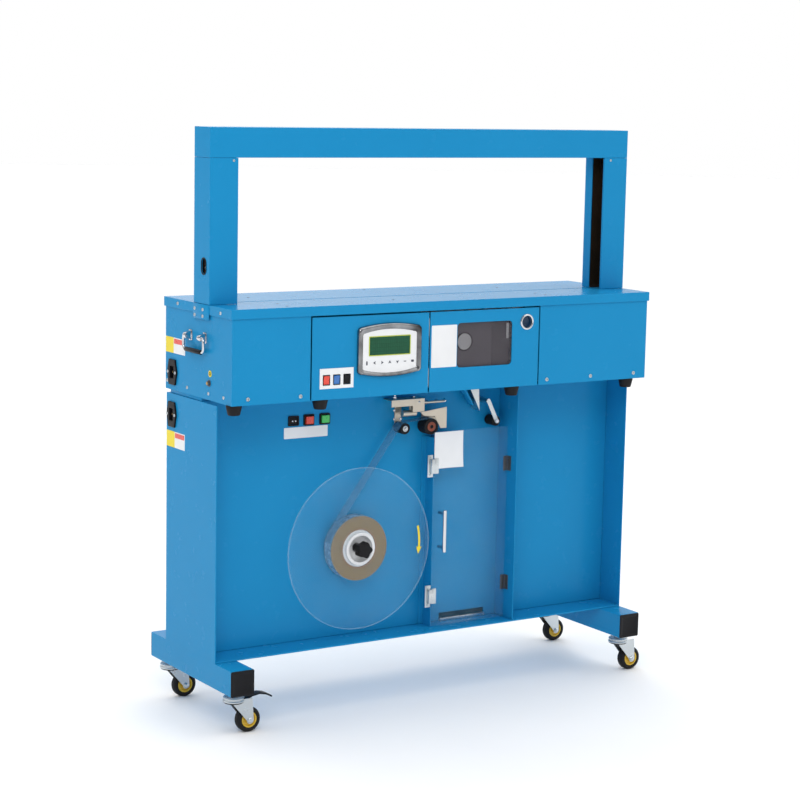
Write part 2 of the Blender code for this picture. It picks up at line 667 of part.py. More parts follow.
def make_housing(colours):
    blue = colours["blue"]
    make_corner_cover(-1, LEFT_SEAM_X, blue)
    make_corner_cover(1, RIGHT_SEAM_X, blue)
    inside = COVER_END - SHEET - FIT_GAP
    add_object("rear_cover", box_shape((-inside, COVER_BACK - SHEET, HOUSING_BOTTOM),
                                       (inside, COVER_BACK, COVER_TOP)), blue)
    floor = add_object("base_plate",
                       box_shape((-inside, COVER_FRONT + SHEET + FIT_GAP, HOUSING_BOTTOM),
                                 (inside, COVER_BACK - SHEET - FIT_GAP, HOUSING_BOTTOM + SHEET)), blue)
    cut(floor, box_shape((CHUTE_TOP_LEFT - CHUTE_HOLE_MARGIN, PLATE_BACK - CHUTE_HOLE_MARGIN,
                          HOUSING_BOTTOM - CUT_OVER),
                         (CHUTE_TIP_X + CHUTE_HOLE_MARGIN, TAPE_REAR + CHUTE_HOLE_MARGIN,
                          HOUSING_BOTTOM + SHEET + CUT_OVER)))
    panel_low = HOUSING_BOTTOM + FIT_GAP
    panel = add_object("controller_panel",
                       box_shape((LEFT_SEAM_X + PANEL_SEAM / 2, COVER_FRONT, panel_low),
                                 (MIDDLE_SEAM_X - PANEL_SEAM / 2, COVER_FRONT + SHEET, PANEL_TOP)), blue)
    front, back = COVER_FRONT - CUT_OVER, COVER_FRONT + SHEET + CUT_OVER
    hole_width = CONTROLLER_BOX_WIDTH + 2 * SLIDE_GAP
    hole_height = CONTROLLER_BOX_HEIGHT + 2 * SLIDE_GAP
    cut(panel,
        box_shape((CONTROLLER_X - hole_width / 2, front, CONTROLLER_Z - hole_height / 2),
                  (CONTROLLER_X + hole_width / 2, back, CONTROLLER_Z + hole_height / 2)),
        *[rocker_hole("Z", ROCKER_FIRST_X + ROCKER_PITCH * place, ROCKER_Z, front, back)
          for place in range(len(ROCKER_COLOURS))])


def make_window_door(colours):
    left = MIDDLE_SEAM_X + PANEL_SEAM / 2
    right = RIGHT_SEAM_X - PANEL_SEAM / 2
    hinge = pivot("window_door_pivot", (left, COVER_FRONT, HOUSING_BOTTOM))
    door = add_object("window_door",
                      box_shape((left, COVER_FRONT, HOUSING_BOTTOM + FIT_GAP),
                                (right, COVER_FRONT + SHEET, PANEL_TOP)), colours["blue"], parent=hinge)
    front, back = COVER_FRONT - CUT_OVER, COVER_FRONT + SHEET + CUT_OVER
    cut(door,
        prism_shape("Y", rounded_outline((WINDOW_X, WINDOW_Z), WINDOW_WIDTH, WINDOW_HEIGHT,
                                         WINDOW_CORNER), front, back),
        rod_shape("Y", (PORT_X, PORT_Z), PORT_RADIUS, front, back, MEDIUM))
    pane_front = COVER_FRONT + SHEET + FIT_GAP
    add_object("window_pane",
               prism_shape("Y", rounded_outline((WINDOW_X, WINDOW_Z), WINDOW_WIDTH + 2 * PANE_BORDER,
                                                WINDOW_HEIGHT + 2 * PANE_BORDER, WINDOW_CORNER),
                           pane_front, pane_front + PANE_THICKNESS), colours["smoked"], parent=hinge)


def make_table(colours):
    """Two halves of the lid, each a plate with its lips turned down, with the tape slot between."""
    slot_front = TABLE_SLOT_Y - TABLE_SLOT_WIDTH / 2
    slot_back = TABLE_SLOT_Y + TABLE_SLOT_WIDTH / 2
    inner = TABLE_END - LIP_WALL
    halves = (("table_front", TABLE_FRONT, slot_front, TABLE_FRONT + LIP_WALL, slot_front + CUT_OVER),
              ("table_rear", slot_back, TABLE_BACK, slot_back - CUT_OVER, TABLE_BACK - LIP_WALL))
    for name, front, back, hollow_front, hollow_back in halves:
        half = add_object(name, box_shape((-TABLE_END, front, LIP_BOTTOM), (TABLE_END, back, TABLE_TOP)),
                          colours["blue"])
        cut(half, box_shape((-inner, hollow_front, LIP_BOTTOM - CUT_OVER),
                            (inner, hollow_back, LID_UNDERSIDE)))


# ================================================================ arch
def channel_span():
    return TAPE_FRONT - CHANNEL_AHEAD, TAPE_REAR + CHANNEL_BEHIND


def make_column(side, surface):
    """A hollow post, open above and below, with the tape channel down its inner face."""
    low, high = span(side * TABLE_END, side * (TABLE_END - COLUMN_WIDTH))
    top = BEAM_BOTTOM - FIT_GAP
    column = add_object(f"arch_{side_name(side)}_column",
                        box_shape((low, ARCH_FRONT_Y, COLUMN_BOTTOM), (high, ARCH_BACK_Y, top)), surface)
    under, over = COLUMN_BOTTOM - CUT_OVER, top + CUT_OVER
    channel_front, channel_back = channel_span()
    inner_low, inner_high = span(side * (TABLE_END - COLUMN_WIDTH + 2 * SHEET),
                                 side * (TABLE_END - COLUMN_WIDTH - CUT_OVER))
    tools = [box_shape((low + SHEET, ARCH_FRONT_Y + SHEET, under),
                       (high - SHEET, ARCH_BACK_Y - SHEET, over)),
             box_shape((inner_low, channel_front, under), (inner_high, channel_back, over))]
    if side < 0:
        centre = ((channel_front + channel_back) / 2, TABLE_TOP + PORTHOLE_UP)
        radius = PORTHOLE_WIDTH / 2
        rise = PORTHOLE_HEIGHT / 2 - radius
        outline = arc((centre[0], centre[1] + rise), radius, 0, 180, PORTHOLE_SEGMENTS)
        outline += arc((centre[0], centre[1] - rise), radius, 180, 360, PORTHOLE_SEGMENTS)
        tools.append(prism_shape("X", outline, low - CUT_OVER, low + SHEET + CUT_OVER))
    cut(column, *tools)


def make_beam(surface):
    beam = add_object("arch_beam", box_shape((-TABLE_END, ARCH_FRONT_Y, BEAM_BOTTOM),
                                             (TABLE_END, ARCH_BACK_Y, ARCH_TOP)), surface)
    inner = TABLE_END - SHEET
    channel_front, channel_back = channel_span()
    cut(beam,
        box_shape((-inner, ARCH_FRONT_Y + SHEET, BEAM_BOTTOM + SHEET),
                  (inner, ARCH_BACK_Y - SHEET, ARCH_TOP - SHEET)),
        box_shape((-inner, channel_front, BEAM_BOTTOM - CUT_OVER),
                  (inner, channel_back, BEAM_BOTTOM + 2 * SHEET)))


# ================================================================ controller, switches and buttons
def make_controller(colours):
    """The operator's panel: a bezel bulged above and below, with its box through the sheet."""
    half = CONTROLLER_WIDTH / 2
    rise = CONTROLLER_SIDE_HEIGHT / 2
    radius = (half ** 2 + CONTROLLER_BULGE ** 2) / (2 * CONTROLLER_BULGE)
    swing = math.degrees(math.asin(half / radius))
    top = arc((CONTROLLER_X, CONTROLLER_Z + rise + CONTROLLER_BULGE - radius), radius,
              90 - swing, 90 + swing, 8)
    bottom = arc((CONTROLLER_X, CONTROLLER_Z - rise - CONTROLLER_BULGE + radius), radius,
                 270 - swing, 270 + swing, 8)
    back = COVER_FRONT - FIT_GAP
    bezel = add_object("controller", prism_shape("Y", top + bottom, back - CONTROLLER_DEPTH, back),
                       colours["chrome"])
    join(bezel, box_shape((CONTROLLER_X - CONTROLLER_BOX_WIDTH / 2, back - CONTROLLER_DEPTH / 2,
                           CONTROLLER_Z - CONTROLLER_BOX_HEIGHT / 2),
                          (CONTROLLER_X + CONTROLLER_BOX_WIDTH / 2, COVER_FRONT + CONTROLLER_BOX_DEPTH,
                           CONTROLLER_Z + CONTROLLER_BOX_HEIGHT / 2)))


def rocker_hole(long_axis, x, z, front, back):
    wide = ROCKER_WIDTH / 2 + SLIDE_GAP
    long = ROCKER_LENGTH / 2 + SLIDE_GAP
    across, up = (wide, long) if long_axis == "Z" else (long, wide)
    return box_shape((x - across, front, z - up), (x + across, back, z + up))


def rocker_outline(dish):
    """Side view of a rocker: (outward, along), with round ends and a dished front."""
    reach = ROCKER_LENGTH / 2
    upper = arc((0.0, 0.0), reach, 65, 115, 4)
    lower = arc((0.0, 0.0), reach, 245, 295, 4)
    return upper + lower + [(dish, 0.0)]


def make_controls(colours):
    surfaces = {"red": "red", "blue": "switch blue", "black": "black"}
    for place, colour in enumerate(ROCKER_COLOURS):
        add_rocker(f"rocker_{colour}", "Z", ROCKER_FIRST_X + ROCKER_PITCH * place, ROCKER_Z,
                   COVER_FRONT, colours[surfaces[colour]])
    add_rocker("stand_rocker", "X", STAND_ROCKER_X, STAND_SWITCH_Z, WALL_FRONT, colours["black"])
    for name, x, surface in (("stop_button", STOP_BUTTON_X, "red"),
                             ("start_button", START_BUTTON_X, "green")):
        add_object(name, box_shape((x - BUTTON_WIDTH / 2, WALL_FRONT - BUTTON_PROUD,
                                    STAND_SWITCH_Z - BUTTON_HEIGHT / 2),
                                   (x + BUTTON_WIDTH / 2, WALL_FRONT + BUTTON_BODY,
                                    STAND_SWITCH_Z + BUTTON_HEIGHT / 2)),
                   colours[surface], (x, WALL_FRONT, STAND_SWITCH_Z))


def add_rocker(name, long_axis, x, z, sheet_front, surface):
    """At rest a rocker is tilted, so that its upper or right end stands out."""
    axis_y = sheet_front + SHEET / 2
    tilt = math.radians(ROCKER_TILT)
    points = []
    for outward, along in rocker_outline(ROCKER_LENGTH / 2 * math.cos(math.radians(65)) - ROCKER_DISH):
        turned_out = outward * math.cos(tilt) + along * math.sin(tilt)
        turned_along = along * math.cos(tilt) - outward * math.sin(tilt)
        if long_axis == "Z":
            points.append((axis_y - turned_out, z + turned_along))
        else:
            points.append((x + turned_along, axis_y - turned_out))
    half = ROCKER_WIDTH / 2
    if long_axis == "Z":
        shape = prism_shape("X", points, x - half, x + half)
    else:
        shape = prism_shape("Z", points, z - half, z + half)
    add_object(name, shape, surface, (x, axis_y, z))


def button_hole(x, front, back):
    wide = BUTTON_WIDTH / 2 + SLIDE_GAP
    tall = BUTTON_HEIGHT / 2 + SLIDE_GAP
    return box_shape((x - wide, front, STAND_SWITCH_Z - tall), (x + wide, back, STAND_SWITCH_Z + tall))


# ================================================================ side handles and power inlets
def make_handle(side, surface):
    """A bail that hangs from two pins, with round bends at its lower corners."""
    x = side * (COVER_END + HANDLE_STANDOFF)
    half = HANDLE_SPAN / 2
    low = HANDLE_PIVOT_Z - HANDLE_DROP
    route = [(HANDLE_Y - half + HANDLE_PIN, HANDLE_PIVOT_Z)]
    route += arc((HANDLE_Y - half + HANDLE_BEND, HANDLE_PIVOT_Z - HANDLE_BEND), HANDLE_BEND, 90, 180, 3)
    route += arc((HANDLE_Y - half + HANDLE_BEND, low + HANDLE_BEND), HANDLE_BEND, 180, 270, 3)
    route += arc((HANDLE_Y + half - HANDLE_BEND, low + HANDLE_BEND), HANDLE_BEND, 270, 360, 3)
    route += arc((HANDLE_Y + half - HANDLE_BEND, HANDLE_PIVOT_Z - HANDLE_BEND), HANDLE_BEND, 0, 90, 3)
    route.append((HANDLE_Y + half - HANDLE_PIN, HANDLE_PIVOT_Z))
    curve = bpy.data.curves.new(f"{side_name(side)}_handle", "CURVE")
    curve.dimensions = "3D"
    curve.bevel_depth = HANDLE_RADIUS
    curve.bevel_resolution = 2
    curve.use_fill_caps = True
    spline = curve.splines.new("POLY")
    spline.points.add(len(route) - 1)
    for point, (y, z) in zip(spline.points, route):
        point.co = (0.0, y - HANDLE_Y, z - HANDLE_PIVOT_Z, 1.0)
    curve.materials.append(surface)
    handle = bpy.data.objects.new(f"{side_name(side)}_handle", curve)
    handle.location = (x, HANDLE_Y, HANDLE_PIVOT_Z)
    bpy.context.scene.collection.objects.link(handle)


def inlet_hole(low, high, z):
    tall = INLET_BODY_HEIGHT / 2 + SLIDE_GAP
    wide = INLET_BODY_WIDTH / 2 + SLIDE_GAP
    low, high = span(low, high)
    return box_shape((low, INLET_Y - wide, z - tall), (high, INLET_Y + wide, z + tall))


def make_inlet(name, face_x, z, surface):
    """A mains inlet on the left side: a six-sided flange, a body through the sheet and a socket."""
    flange_back = face_x - FIT_GAP
    flange_front = flange_back - INLET_FLANGE
    tall, wide, end = INLET_HEIGHT / 2, INLET_WIDTH / 2, INLET_END_WIDTH / 2
    outline = [(INLET_Y - wide, z), (INLET_Y - end, z - tall), (INLET_Y + end, z - tall),
               (INLET_Y + wide, z), (INLET_Y + end, z + tall), (INLET_Y - end, z + tall)]
    inlet = add_object(name, prism_shape("X", outline, flange_front, flange_back), surface)
    join(inlet, box_shape((flange_back - INLET_FLANGE / 2, INLET_Y - INLET_BODY_WIDTH / 2,
                           z - INLET_BODY_HEIGHT / 2),
                          (face_x + INLET_BODY_DEPTH, INLET_Y + INLET_BODY_WIDTH / 2,
                           z + INLET_BODY_HEIGHT / 2)))
    cut(inlet, box_shape((flange_front - CUT_OVER, INLET_Y - SOCKET_WIDTH / 2, z - SOCKET_HEIGHT / 2),
                         (flange_front + SOCKET_DEPTH, INLET_Y + SOCKET_WIDTH / 2,
                          z + SOCKET_HEIGHT / 2)))


# ================================================================ reel of film
def make_reel(colours):
    centre = (REEL_X, REEL_Z)
    wall = WALL_FRONT - FIT_GAP
    hub_back = TAPE_REAR
    hub_shoulder = TAPE_FRONT + FIT_GAP
    disc_back = TAPE_FRONT - FIT_GAP
    disc_front = disc_back - DISC_THICKNESS
    collar_front = hub_shoulder - HUB_COLLAR_LENGTH
    cup_floor = hub_back - HUB_CUP_FLOOR
    axle_end = cup_floor - FIT_GAP
    stud_end = axle_end - STUD_LENGTH
    flange_front = wall - AXLE_FLANGE
    smooth(add_object("reel_axle", turned_shape("Y", centre, [
        (0.0, wall), (AXLE_FLANGE_RADIUS, wall), (AXLE_FLANGE_RADIUS, flange_front),
        (REEL_AXLE_RADIUS, flange_front), (REEL_AXLE_RADIUS, axle_end), (STUD_RADIUS, axle_end),
        (STUD_RADIUS, stud_end), (0.0, stud_end)], MEDIUM), colours["chrome"]))
    spin = pivot("reel_pivot", (REEL_X, hub_back, REEL_Z))
    bore = REEL_AXLE_RADIUS + RUNNING_GAP
    hub_radius = CORE_BORE_RADIUS - FIT_GAP
    smooth(add_object("reel_hub", turned_shape("Y", centre, [
        (bore, hub_back), (hub_radius, hub_back), (hub_radius, hub_shoulder),
        (HUB_COLLAR_RADIUS, hub_shoulder), (HUB_COLLAR_RADIUS, collar_front),
        (HUB_CUP_RADIUS, collar_front), (HUB_CUP_RADIUS, cup_floor), (bore, cup_floor)], MEDIUM),
        colours["white"], parent=spin))
    smooth(add_object("film_roll", turned_shape("Y", centre, [
        (CORE_BORE_RADIUS, TAPE_REAR), (ROLL_RADIUS, TAPE_REAR), (ROLL_RADIUS, TAPE_FRONT),
        (CORE_BORE_RADIUS, TAPE_FRONT)], FINE), colours["film"], parent=spin))
    smooth(add_object("reel_disc", turned_shape("Y", centre, [
        (HUB_COLLAR_RADIUS + FIT_GAP, disc_back), (DISC_RADIUS, disc_back), (DISC_RADIUS, disc_front),
        (HUB_COLLAR_RADIUS + FIT_GAP, disc_front)], FINE), colours["clear"], parent=spin))
    make_star_knob(axle_end, stud_end, colours["black"])


def make_star_knob(axle_end, stud_end, surface):
    """A five-lobed clamping knob with a neck, screwed on the reel's stud."""
    steps = 6 * KNOB_LOBES
    valley = 0.22 * KNOB_RADIUS
    outline = []
    for step in range(steps):
        angle = math.tau * step / steps
        radius = KNOB_RADIUS - valley * (1 - math.cos(KNOB_LOBES * angle)) / 2
        outline.append((REEL_X + radius * math.cos(angle), REEL_Z + radius * math.sin(angle)))
    neck_back = axle_end - FIT_GAP
    neck_front = neck_back - KNOB_NECK_LENGTH
    knob = add_object("star_knob", prism_shape("Y", outline, neck_front - KNOB_DEPTH, neck_front),
                      surface, (REEL_X, neck_front, REEL_Z))
    join(knob, rod_shape("Y", (REEL_X, REEL_Z), KNOB_NECK_RADIUS, neck_front - KNOB_DEPTH / 2,
                         neck_back, COARSE))
    cut(knob, rod_shape("Y", (REEL_X, REEL_Z), STUD_RADIUS + RUNNING_GAP, stud_end - RUNNING_GAP * 2,
                        neck_back + CUT_OVER, COARSE))


# ================================================================ tape rollers and their carriers
def make_roller(name, x, z, radius, surface):
    bore = PIN_RADIUS + RUNNING_GAP
    smooth(add_object(name, turned_shape("Y", (x, z), [
        (bore, TAPE_REAR), (radius, TAPE_REAR), (radius, TAPE_FRONT), (bore, TAPE_FRONT)], MEDIUM),
        surface, (x, TAPE_FRONT, z)))


def make_guide_bracket(surface):
    """A wall plate that carries the first roller's pin, the shelf, the plunger and its rod."""
    wall = WALL_FRONT - FIT_GAP
    foot = GUIDE_ROLLER_Z - 2 * PIN_RADIUS
    bracket = add_object("guide_bracket",
                         box_shape((GUIDE_ROLLER_X - BRACKET_FOOT / 2, wall - PLATE_THICKNESS, foot),
                                   (GUIDE_ROLLER_X + BRACKET_FOOT / 2, wall, BRACKET_TOP)), surface)
    front_plate = (PLATE_BACK - PLATE_THICKNESS, PLATE_BACK)
    plunger_z = BRACKET_TOP - BRACKET_DEEP - PLUNGER_RADIUS / 2
    plunger_x = BRACKET_LEFT + PLUNGER_FROM_LEFT
    plunger_y = PLATE_BACK + 1.5 * PLUNGER_RADIUS
    deep_left = BRACKET_RIGHT - BRACKET_DEEP_WIDTH
    join(bracket,
         box_shape((BRACKET_LEFT, front_plate[0], BRACKET_TOP - PLATE_THICKNESS),
                   (BRACKET_RIGHT, wall - PLATE_THICKNESS / 2, BRACKET_TOP)),
         box_shape((BRACKET_LEFT, front_plate[0], BRACKET_TOP - BRACKET_LIP),
                   (BRACKET_RIGHT, front_plate[1], BRACKET_TOP - PLATE_THICKNESS / 2)),
         box_shape((deep_left, front_plate[0], BRACKET_TOP - BRACKET_DEEP),
                   (BRACKET_RIGHT, front_plate[1], BRACKET_TOP - BRACKET_LIP / 2)),
         rod_shape("Y", (GUIDE_ROLLER_X, GUIDE_ROLLER_Z), PIN_RADIUS, PLATE_BACK,
                   wall - PLATE_THICKNESS / 2, COARSE),
         rod_shape("X", (plunger_y, plunger_z), PLUNGER_RADIUS, plunger_x,
                   plunger_x + PLUNGER_LENGTH, COARSE),
         box_shape((deep_left, plunger_y - PLUNGER_RADIUS / 2, plunger_z),
                   (plunger_x + PLUNGER_LENGTH - PLUNGER_RADIUS, plunger_y + PLUNGER_RADIUS / 2,
                    BRACKET_TOP - PLATE_THICKNESS / 2)),
         rod_shape("X", (PLATE_BACK + ROD_RADIUS / 2, BRACKET_TOP - ROD_DROP), ROD_RADIUS,
                   BRACKET_RIGHT - ROD_RADIUS, BRACKET_RIGHT + ROD_LENGTH, COARSE))


def make_guide_plate(surface):
    """The plate in front of the pinch roller, its stand-off and the roller's pin."""
    wall = WALL_FRONT - FIT_GAP
    x, z = PINCH_ROLLER_X, PINCH_ROLLER_Z
    radius = PINCH_ROLLER_RADIUS
    left, right = x - 1.75 * radius, x + 2.1 * radius
    low, top = z - 0.25 * radius, z + 2.35 * radius
    post = (right - 0.45 * radius, z + 1.1 * radius)
    plate = add_object("guide_plate", prism_shape("Y", [
        (left, top - 0.45 * radius), (left + 0.5 * radius, z + 1.45 * radius),
        (x + 0.35 * radius, z + 1.3 * radius), (x + 1.25 * radius, low), (right, low), (right, top),
    ], PLATE_BACK - PLATE_THICKNESS, PLATE_BACK), surface)
    join(plate,
         rod_shape("Y", post, 1.5 * PIN_RADIUS, PLATE_BACK - PLATE_THICKNESS / 2,
                   wall - PLATE_THICKNESS / 2, COARSE),
         box_shape((x - 2 * PIN_RADIUS, wall - PLATE_THICKNESS, z - 2 * PIN_RADIUS),
                   (right, wall, post[1] + 2 * PIN_RADIUS)),
         rod_shape("Y", (x, z), PIN_RADIUS, TAPE_FRONT - FIT_GAP, wall - PLATE_THICKNESS / 2, COARSE))


def make_dancer(colours):
    """A sprung arm on a shaft from the back wall, with a roller at its lower end."""
    wall = WALL_FRONT - FIT_GAP
    top = Vector((DANCER_PIVOT_X, DANCER_PIVOT_Z))
    bottom = Vector((DANCER_ROLLER_X, DANCER_ROLLER_Z))
    lean = math.degrees(math.atan2(bottom.y - top.y, bottom.x - top.x))
    radius = DANCER_ARM_WIDTH / 2
    outline = arc(top, radius, lean + 90, lean + 270, 6) + arc(bottom, radius, lean - 90, lean + 90, 6)
    origin = (DANCER_PIVOT_X, PLATE_BACK, DANCER_PIVOT_Z)
    arm = add_object("dancer_arm", prism_shape("Y", outline, PLATE_BACK - PLATE_THICKNESS, PLATE_BACK),
                     colours["steel"], origin)
    join(arm,
         rod_shape("Y", tuple(top), DANCER_SHAFT_RADIUS, PLATE_BACK - PLATE_THICKNESS / 2, wall,
                   COARSE),
         rod_shape("Y", tuple(bottom), PIN_RADIUS, PLATE_BACK - PLATE_THICKNESS / 2, TAPE_REAR, COARSE))
    make_roller("dancer_roller", DANCER_ROLLER_X, DANCER_ROLLER_Z, DANCER_ROLLER_RADIUS,
                colours["rubber"])


def make_chute(surface):
    """The tapered tongue that leads the tape up through the housing's floor."""
    top = HOUSING_BOTTOM + CHUTE_RISE
    add_object("tape_chute", prism_shape("Y", [
        (CHUTE_TOP_LEFT, top), (CHUTE_TIP_X, HOUSING_BOTTOM - CHUTE_DROP), (CHUTE_TOP_RIGHT, top),
    ], TAPE_FRONT, TAPE_REAR), surface)


# ================================================================ feed unit
def make_feed_unit(colours):
    floor = HOUSING_BOTTOM + SHEET + FIT_GAP
    front = FEED_FRAME_Y - FEED_FRAME_THICKNESS
    frame = add_object("feed_frame", prism_shape("X", [
        (front, floor), (FEED_FRAME_Y + FEED_FRAME_FOOT, floor),
        (FEED_FRAME_Y + FEED_FRAME_FOOT, floor + FEED_FRAME_THICKNESS),
        (FEED_FRAME_Y, floor + FEED_FRAME_THICKNESS), (FEED_FRAME_Y, floor + FEED_FRAME_HEIGHT),
        (front, floor + FEED_FRAME_HEIGHT)], FEED_FRAME_LEFT, FEED_FRAME_RIGHT), colours["grey"])
    centre = (PULLEY_X, PULLEY_Z)
    cut(frame, rod_shape("Y", centre, MOTOR_SHAFT_RADIUS + SLIDE_GAP, front - CUT_OVER,
                         FEED_FRAME_Y + CUT_OVER, COARSE))
    motor_front = FEED_FRAME_Y + FIT_GAP
    pulley_back = front - 2 * FIT_GAP
    pulley_front = pulley_back - PULLEY_WIDTH
    smooth(add_object("feed_motor", turned_shape("Y", centre, [
        (0.0, motor_front + MOTOR_LENGTH), (MOTOR_RADIUS, motor_front + MOTOR_LENGTH),
        (MOTOR_RADIUS, motor_front), (MOTOR_SHAFT_RADIUS, motor_front),
        (MOTOR_SHAFT_RADIUS, pulley_front), (0.0, pulley_front)], MEDIUM), colours["grey"]))
    bore = MOTOR_SHAFT_RADIUS + RUNNING_GAP
    middle = (pulley_front + pulley_back) / 2
    smooth(add_object("feed_pulley", turned_shape("Y", centre, [
        (bore, pulley_back), (PULLEY_RADIUS, pulley_back), (PULLEY_RADIUS, middle + PULLEY_GROOVE),
        (PULLEY_RADIUS - PULLEY_GROOVE, middle + PULLEY_GROOVE / 2),
        (PULLEY_RADIUS - PULLEY_GROOVE, middle - PULLEY_GROOVE / 2),
        (PULLEY_RADIUS, middle - PULLEY_GROOVE), (PULLEY_RADIUS, pulley_front),
        (bore, pulley_front)], MEDIUM), colours["steel"], (PULLEY_X, middle, PULLEY_Z)))
    head_top = LID_UNDERSIDE - 2 * SHEET
    add_object("sealing_head", box_shape((HEAD_X - HEAD_WIDTH / 2, TAPE_MIDDLE - HEAD_DEPTH / 2,
                                          head_top - HEAD_HEIGHT),
                                         (HEAD_X + HEAD_WIDTH / 2, TAPE_MIDDLE + HEAD_DEPTH / 2, head_top)),
               colours["grey"])


# ================================================================ the whole machine
def build():
    clear_scene()
    colours = make_materials()
    for side in (-1, 1):
        make_foot_tube(side, colours["blue"])
        make_side_panel(side, colours["blue"])
        make_column(side, colours["blue"])
        make_handle(side, colours["chrome"])
    make_stand_sheets(colours["blue"])
    make_pool(colours)
    for side, end, braked in ((-1, -1, True), (1, -1, False), (-1, 1, True), (1, 1, False)):
        make_caster(side, end, braked, colours)
    make_housing(colours)
    make_window_door(colours)
    make_table(colours)
    make_beam(colours["blue"])
    make_controller(colours)
    make_controls(colours)
    make_inlet("housing_inlet", -COVER_END, HOUSING_INLET_Z, colours["black"])
    make_inlet("stand_inlet", -STAND_OUTER, STAND_INLET_Z, colours["black"])
    make_reel(colours)
    make_guide_bracket(colours["steel"])
    make_guide_plate(colours["steel"])
    make_roller("guide_roller", GUIDE_ROLLER_X, GUIDE_ROLLER_Z, GUIDE_ROLLER_RADIUS, colours["rubber"])
    make_roller("pinch_roller", PINCH_ROLLER_X, PINCH_ROLLER_Z, PINCH_ROLLER_RADIUS, colours["rubber"])
    make_dancer(colours)
    make_chute(colours["steel"])
    make_feed_unit(colours)


build()
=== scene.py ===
import json
import math

import bmesh
import bpy
from bpy.props import FloatProperty, FloatVectorProperty
from mathutils import Matrix, Vector


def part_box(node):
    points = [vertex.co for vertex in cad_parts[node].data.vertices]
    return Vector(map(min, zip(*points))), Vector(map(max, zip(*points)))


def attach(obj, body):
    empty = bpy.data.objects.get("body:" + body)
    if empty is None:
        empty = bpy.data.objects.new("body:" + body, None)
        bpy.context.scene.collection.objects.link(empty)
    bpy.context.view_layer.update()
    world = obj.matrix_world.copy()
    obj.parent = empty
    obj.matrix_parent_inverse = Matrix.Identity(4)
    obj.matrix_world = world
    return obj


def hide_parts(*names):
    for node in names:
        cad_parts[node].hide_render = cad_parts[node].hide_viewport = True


bl_info = {
    "name": "Arch strapping machine",
    "version": (1, 0, 0),
    "blender": (4, 5, 0),
    "location": "View3D > Sidebar > Strapper",
    "description": "Detailed pieces and finishes for an arch strapping machine on a caster stand",
    "category": "Object",
}

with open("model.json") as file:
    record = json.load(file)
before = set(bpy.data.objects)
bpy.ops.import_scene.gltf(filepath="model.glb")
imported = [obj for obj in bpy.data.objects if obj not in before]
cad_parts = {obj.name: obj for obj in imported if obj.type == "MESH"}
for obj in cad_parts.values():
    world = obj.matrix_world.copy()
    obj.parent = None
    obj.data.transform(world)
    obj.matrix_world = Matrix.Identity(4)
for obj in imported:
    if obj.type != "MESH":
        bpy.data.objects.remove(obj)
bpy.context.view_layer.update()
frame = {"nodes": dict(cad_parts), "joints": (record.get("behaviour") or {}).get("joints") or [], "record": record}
NODES = frame["nodes"]
GAP = 0.0003                # between two pieces that touch
SINK = 0.0004               # how far a label or a head is pressed into what holds it
PIECES = {}                 # finishes by name, filled by the finish operator


# ---------------------------------------------------------------- settings
def size(name, description, default):
    return FloatProperty(name=name, description=description, default=default, unit="LENGTH")


def paint(name, description, default):
    return FloatVectorProperty(name=name, description=description, default=default,
                               subtype="COLOR", size=3, min=0.0, max=1.0)


class StrapperSizes(bpy.types.PropertyGroup):
    fold_radius: size("Fold radius", "Rounding of the sheet metal's edges", 0.0008)
    cap_flange: size("Cap flange", "Thickness of the tube caps outside the tube", 0.002)
    cap_corner: size("Cap corner", "Rounding of the tube caps", 0.003)
    screw_radius: size("Screw head", "Radius of the cover screws' heads", 0.0040)
    small_screw_radius: size("Small screw head", "Radius of the small screws' heads", 0.0026)
    foot_radius: size("Rubber foot", "Upper radius of a rubber foot", 0.0150)
    foot_height: size("Foot height", "Height of a rubber foot", 0.0185)
    hinge_height: size("Door hinge", "Height of a pool door hinge", 0.031)
    hinge_width: size("Hinge leaf", "Width of a pool door hinge leaf", 0.0095)
    catch_height: size("Door catch", "Height of a pool door catch", 0.046)
    core_wall: size("Core wall", "Thickness of the film roll's paper core", 0.0030)
    film_thickness: size("Film", "Thickness of the film tape as drawn", 0.00025)
    label_thickness: size("Label", "Thickness of the blank labels", 0.0004)


class StrapperColours(bpy.types.PropertyGroup):
    body: paint("Body paint", "Paint of the sheet metal", (0.012, 0.262, 0.540))
    body_dark: paint("Body shade", "Paint's darker patches", (0.010, 0.250, 0.518))
    plastic: paint("Black plastic", "Caps, inlets and knob", (0.008, 0.008, 0.010))
    tyre: paint("Rubber", "Tyres, feet and rollers", (0.012, 0.012, 0.013))
    zinc: paint("Zinc plating", "Caster forks and screws", (0.60, 0.64, 0.66))
    plate: paint("Plate steel", "Brackets of the tape path", (0.62, 0.56, 0.47))
    chrome: paint("Chrome", "Bezel and handles", (0.66, 0.67, 0.69))
    hub_yellow: paint("Hub yellow", "Hubs of the caster wheels", (0.72, 0.47, 0.03))
    arrow_yellow: paint("Arrow yellow", "Arrow on the reel disc and blank labels", (0.90, 0.72, 0.02))
    white: paint("White", "Labels, reel hub and controller face", (0.86, 0.87, 0.88))
    display: paint("Display", "Glass of the display", (0.012, 0.085, 0.042))
    film: paint("Film edges", "Ends of the wound film", (0.185, 0.115, 0.030))
    film_face: paint("Film face", "Outside of the wound film", (0.60, 0.66, 0.70))
    core: paint("Paper core", "Core of the film roll", (0.33, 0.19, 0.09))
    hub_brown: paint("Roller hub", "Hub of the pinch roller", (0.26, 0.055, 0.022))
    red: paint("Red", "Stop button and first rocker", (0.80, 0.045, 0.020))
    green: paint("Green", "Start button", (0.035, 0.56, 0.10))
    blue: paint("Blue", "Second rocker", (0.020, 0.150, 0.480))
    floor: paint("Floor", "Floor of the studio", (0.97, 0.97, 0.97))


def sizes():
    return bpy.context.scene.strapper_sizes


def colours():
    return bpy.context.scene.strapper_colours


